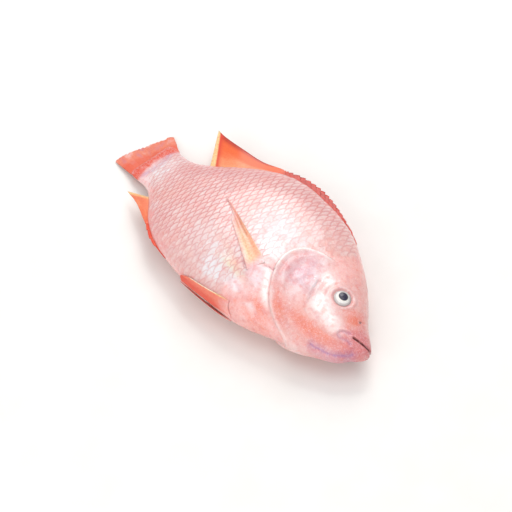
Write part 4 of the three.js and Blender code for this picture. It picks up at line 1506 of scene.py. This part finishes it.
class TilapiaStage(bpy.types.Operator):
    """Sets the table top, the soft light and the camera"""

    bl_idname = "tilapia.stage"
    bl_label = "Stage"

    def execute(self, context):
        shape = Shape(context.scene.tilapia_body)
        side = TABLE_HALF
        corners = [(-side, -side, 0), (side, -side, 0), (side, side, 0), (-side, side, 0)]
        table = mesh_object("table_top", corners, [(0, 1, 2, 3)], table_top("matt_pale_laminate"))
        target = Vector(shape.place(*AIM) * MM)
        azimuth, elevation = math.radians(CAMERA_AZIMUTH), math.radians(CAMERA_ELEVATION)
        level = math.cos(elevation)
        towards = Vector((math.sin(azimuth) * level, -math.cos(azimuth) * level, math.sin(elevation)))
        data = bpy.data.cameras.new("camera")
        data.lens, data.sensor_width = CAMERA_LENS, SENSOR_WIDTH
        data.shift_x, data.shift_y = CAMERA_SHIFT
        camera = bpy.data.objects.new("camera", data)
        camera.location = target + towards * CAMERA_DISTANCE
        camera.rotation_mode = "QUATERNION"
        camera.rotation_quaternion = (-towards).to_track_quat("-Z", "Y")
        context.scene.collection.objects.link(camera)
        context.scene.camera = camera
        for lamp in LAMPS:
            soft_box(*lamp, target)
        world = bpy.data.worlds.new("pale_room")
        context.scene.world = world
        world.use_nodes = True
        background = world.node_tree.nodes["Background"]
        background.inputs["Color"].default_value = ROOM_COLOUR
        background.inputs["Strength"].default_value = ROOM_STRENGTH
        context.scene.view_settings.view_transform = "Standard"
        return {"FINISHED"}


class TilapiaPanel(bpy.types.Panel):
    """Lists the sizes, the colours and the steps that build the fish"""

    bl_idname = "VIEW3D_PT_tilapia"
    bl_label = "Tilapia"
    bl_space_type = "VIEW_3D"
    bl_region_type = "UI"
    bl_category = "Tilapia"

    def draw(self, context):
        for key in GROUPS:
            box = self.layout.box()
            settings = getattr(context.scene, key)
            for name in settings.__annotations__:
                box.prop(settings, name)
        for step in STEPS:
            self.layout.operator(step.bl_idname)


GROUPS = {
    "tilapia_body": TilapiaBody,
    "tilapia_scales": TilapiaScales,
    "tilapia_fins": TilapiaFins,
    "tilapia_colours": TilapiaColours,
}
STEPS = (TilapiaSkin, TilapiaScaleCoat, TilapiaFinSet, TilapiaEyes, TilapiaStage)


def register():
    for group in (*GROUPS.values(), *STEPS, TilapiaPanel):
        bpy.utils.register_class(group)
    for key, group in GROUPS.items():
        setattr(bpy.types.Scene, key, PointerProperty(type=group))


def unregister():
    for key in GROUPS:
        delattr(bpy.types.Scene, key)
    for group in (TilapiaPanel, *reversed(STEPS), *reversed(GROUPS.values())):
        bpy.utils.unregister_class(group)


def main():
    register()
    bpy.ops.tilapia.skin()
    bpy.ops.tilapia.scale_coat()
    bpy.ops.tilapia.fins()
    bpy.ops.tilapia.eyes()
    bpy.ops.tilapia.stage()


if __name__ == "__main__":
    main()
